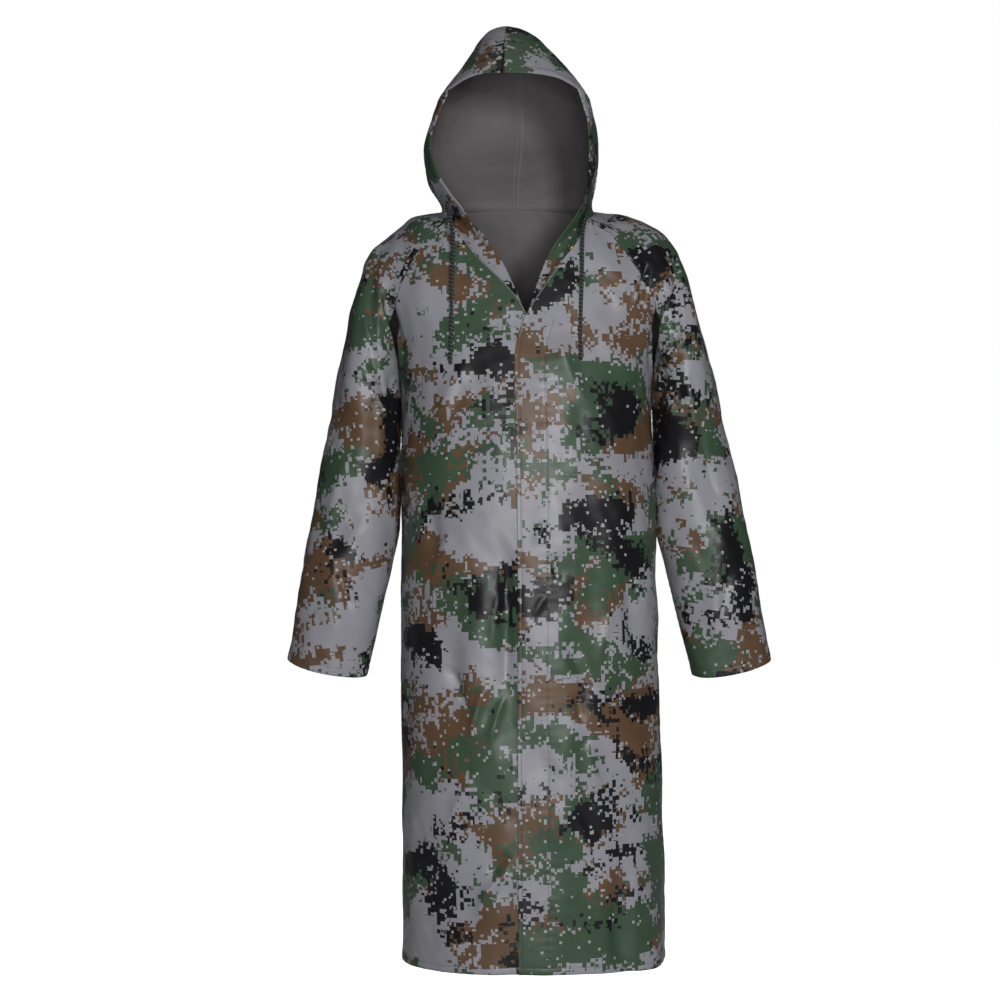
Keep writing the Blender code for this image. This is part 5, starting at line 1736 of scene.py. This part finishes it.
class RAINCOAT_OT_stage(bpy.types.Operator):
    """Set the camera, the soft lights, the pale surround and the floor"""
    bl_idname = "raincoat.stage"
    bl_label = "Stage"

    def execute(self, context):
        stage = context.scene.raincoat_stage
        camera = bpy.data.objects.new("camera", bpy.data.cameras.new("camera"))
        camera.data.lens = stage.lens
        camera.location = stage.camera_place
        camera.rotation_euler = (math.radians(90), 0.0, 0.0)
        context.scene.collection.objects.link(camera)
        context.scene.camera = camera
        context.scene.view_settings.view_transform = "Standard"
        for lamp in rows_of(LIGHTS):
            light = bpy.data.objects.new(lamp["name"], bpy.data.lights.new(lamp["name"], "AREA"))
            light.data.size = lamp["side"]
            light.data.energy = getattr(stage, lamp["name"] + "_power")
            light.location = lamp["place"]
            facing = LIGHT_AIM - Vector(lamp["place"])
            light.rotation_euler = facing.to_track_quat("-Z", "Y").to_euler()
            context.scene.collection.objects.link(light)
        self.surround(context, stage)
        self.floor(context, stage)
        return {"FINISHED"}

    def surround(self, context, stage):
        """White where the camera sees it, and softer where it lights the coat."""
        world = bpy.data.worlds.new("surround")
        context.scene.world = world
        world.use_nodes = True
        tree = world.node_tree
        seen = tree.nodes["Background"]
        seen.inputs[0].default_value = opaque((1.0, 1.0, 1.0))
        lighting = add_node(tree, "ShaderNodeBackground", {0: opaque(SKY), 1: stage.surround})
        to_camera = add_node(tree, "ShaderNodeLightPath").outputs["Is Camera Ray"]
        both = add_node(tree, "ShaderNodeMixShader",
                        {0: to_camera, 1: lighting.outputs[0], 2: seen.outputs[0]})
        feed(tree, tree.nodes["World Output"], {0: both.outputs[0]})

    def floor(self, context, stage):
        """A wide round floor."""
        turn = np.linspace(0, 2 * math.pi, FLOOR_SIDES + 1)[:-1]
        rim = np.stack([FLOOR_RADIUS * np.cos(turn), FLOOR_RADIUS * np.sin(turn),
                        0 * turn + stage.floor_level], axis=1)
        mesh = bpy.data.meshes.new("floor")
        mesh.from_pydata(rim.tolist(), [], [list(range(len(turn)))])
        mesh.materials.append(pale_card())
        floor = bpy.data.objects.new("floor", mesh)
        context.scene.collection.objects.link(floor)


class RAINCOAT_OT_cords(bpy.types.Operator):
    """Lay the two free ends of the drawcord down over the chest"""
    bl_idname = "raincoat.cords"
    bl_label = "Cords"

    def execute(self, context):
        trim = context.scene.raincoat_trim
        for hand, route in CORDS.items():
            piece, path, total = add_braid("braid_" + hand, route, trim.cord_diameter, trim.braid_pitch)
            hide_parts("cord_" + hand)
        return {"FINISHED"}


class RAINCOAT_OT_fronts(bpy.types.Operator):
    """Cut the two fronts, the wearer's left one lapping over the right"""
    bl_idname = "raincoat.fronts"
    bl_label = "Fronts"

    def execute(self, context):
        for side in (-1, 1):
            add_cloth(front_panel(side))
        return {"FINISHED"}


class RAINCOAT_OT_back(bpy.types.Operator):
    """Cut the back"""
    bl_idname = "raincoat.back"
    bl_label = "Back"

    def execute(self, context):
        add_cloth(back_panel())
        return {"FINISHED"}


class RAINCOAT_OT_sleeves(bpy.types.Operator):
    """Cut the two raglan sleeves"""
    bl_idname = "raincoat.sleeves"
    bl_label = "Sleeves"

    def execute(self, context):
        for side in (-1, 1):
            add_cloth(sleeve_panel(side))
        return {"FINISHED"}


class RAINCOAT_OT_hood(bpy.types.Operator):
    """Cut the two halves of the hood"""
    bl_idname = "raincoat.hood"
    bl_label = "Hood"

    def execute(self, context):
        for side in (-1, 1):
            add_cloth(hood_panel(side))
        add_centre_seam()
        return {"FINISHED"}


class RAINCOAT_OT_stitching(bpy.types.Operator):
    """Sew the hems, the placket, the neckline, the raglan seams and the hood"""
    bl_idname = "raincoat.stitching"
    bl_label = "Stitching"

    def execute(self, context):
        yoke = np.arange(len(yoke_stations()))[RAGLAN_STITCH_ROW:]
        for side, hand in ((-1, "right"), (1, "left")):
            front, sleeve, hood = front_panel(side), sleeve_panel(side), hood_panel(side)
            level = front.grid[:, 0, 2]
            closure = [front.line(HEM_LINE, axis=0),
                       front.line(EDGE_LINE, part=level < CLOSURE_STITCH_TOP_Z)]
            if side == 1:
                closure.append(front.line(PLACKET_LINE, part=level < PLACKET_TOP_Z))
            add_stitches("stitches_front_" + hand, closure, grey_thread())
            neck = (level > NECK_STITCH_LOW_Z) & (level < NECK_STITCH_TOP_Z)
            add_stitches("stitches_neckline_" + hand, [front.line(NECK_LINE, part=neck)],
                         light_thread(), NECK_STITCH)
            points, normals = hood.line(CENTRE_LINE, from_end=True,
                                        part=hood.grid[:, -1, 2] < SEAM_TOP_Z)
            inside = points - normals * (cloth().wall + HOOD_STITCH_RISE)
            add_stitches("stitches_hood_" + hand, [(inside, -normals)], light_thread(), HOOD_STITCH)
            add_stitches("stitches_sleeve_" + hand,
                         [sleeve.line(CUFF_LINE, axis=0, from_end=True),
                          sleeve.line(RAGLAN_LINE, part=yoke),
                          sleeve.line(RAGLAN_LINE, from_end=True, part=yoke)], grey_thread())
        add_stitches("stitches_back", [back_panel().line(HEM_LINE, axis=0)], grey_thread())
        return {"FINISHED"}


class RAINCOAT_OT_brass(bpy.types.Operator):
    """Set the two eyelets and the snap"""
    bl_idname = "raincoat.brass"
    bl_label = "Brass"

    def execute(self, context):
        arc = np.linspace(0, math.pi, FLANGE_POINTS)
        rolled = [(FLANGE_RADIUS - FLANGE_HALF * math.cos(angle),
                   FLANGE_LEVEL + FLANGE_RISE * math.sin(angle)) for angle in arc]
        for name, (spot, out) in BRASS.items():
            profile, well_points = (STUD, SNAP_WELL_POINTS) if name == "neck_snap" else (
                (*FLANGE_WELL, *rolled), len(FLANGE_WELL))
            panel = hood_panel(-1 if name.endswith("right") else 1)
            spot, out = np.array(spot), unit(np.array(out))
            spot = spot + out * ((ground_at(panel, spot) - spot) @ out)
            piece = add_turned("brass_" + name, profile[::-1], spot, out, well_points)
            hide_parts(name)
        return {"FINISHED"}


class RAINCOAT_PT_sidebar(bpy.types.Panel):
    """Lists the coat's settings and the steps that make it"""
    bl_label = "Raincoat"
    bl_idname = "RAINCOAT_PT_sidebar"
    bl_space_type = "VIEW_3D"
    bl_region_type = "UI"
    bl_category = "Raincoat"

    def draw(self, context):
        for name in SETTINGS:
            box = self.layout.box()
            settings = getattr(context.scene, name)
            for key in settings.__annotations__:
                box.prop(settings, key)
        for step in STEPS:
            self.layout.operator(step.bl_idname)


STEPS = (RAINCOAT_OT_stage, RAINCOAT_OT_cords, RAINCOAT_OT_fronts, RAINCOAT_OT_back, RAINCOAT_OT_sleeves,
         RAINCOAT_OT_hood, RAINCOAT_OT_stitching, RAINCOAT_OT_brass)
SETTINGS = {"raincoat_cloth": ClothSettings, "raincoat_print": PrintSettings,
            "raincoat_trim": TrimSettings, "raincoat_stage": StageSettings}


def register():
    for name, group in SETTINGS.items():
        bpy.utils.register_class(group)
        setattr(bpy.types.Scene, name, PointerProperty(type=group))
    for step in STEPS + (RAINCOAT_PT_sidebar,):
        bpy.utils.register_class(step)


def unregister():
    for step in reversed(STEPS + (RAINCOAT_PT_sidebar,)):
        bpy.utils.unregister_class(step)
    for name, group in SETTINGS.items():
        delattr(bpy.types.Scene, name)
        bpy.utils.unregister_class(group)


def main():
    """Makes every piece in order."""
    register()
    for step in STEPS:
        area, action = step.bl_idname.split(".")
        getattr(getattr(bpy.ops, area), action)()


if __name__ == "__main__":
    main()
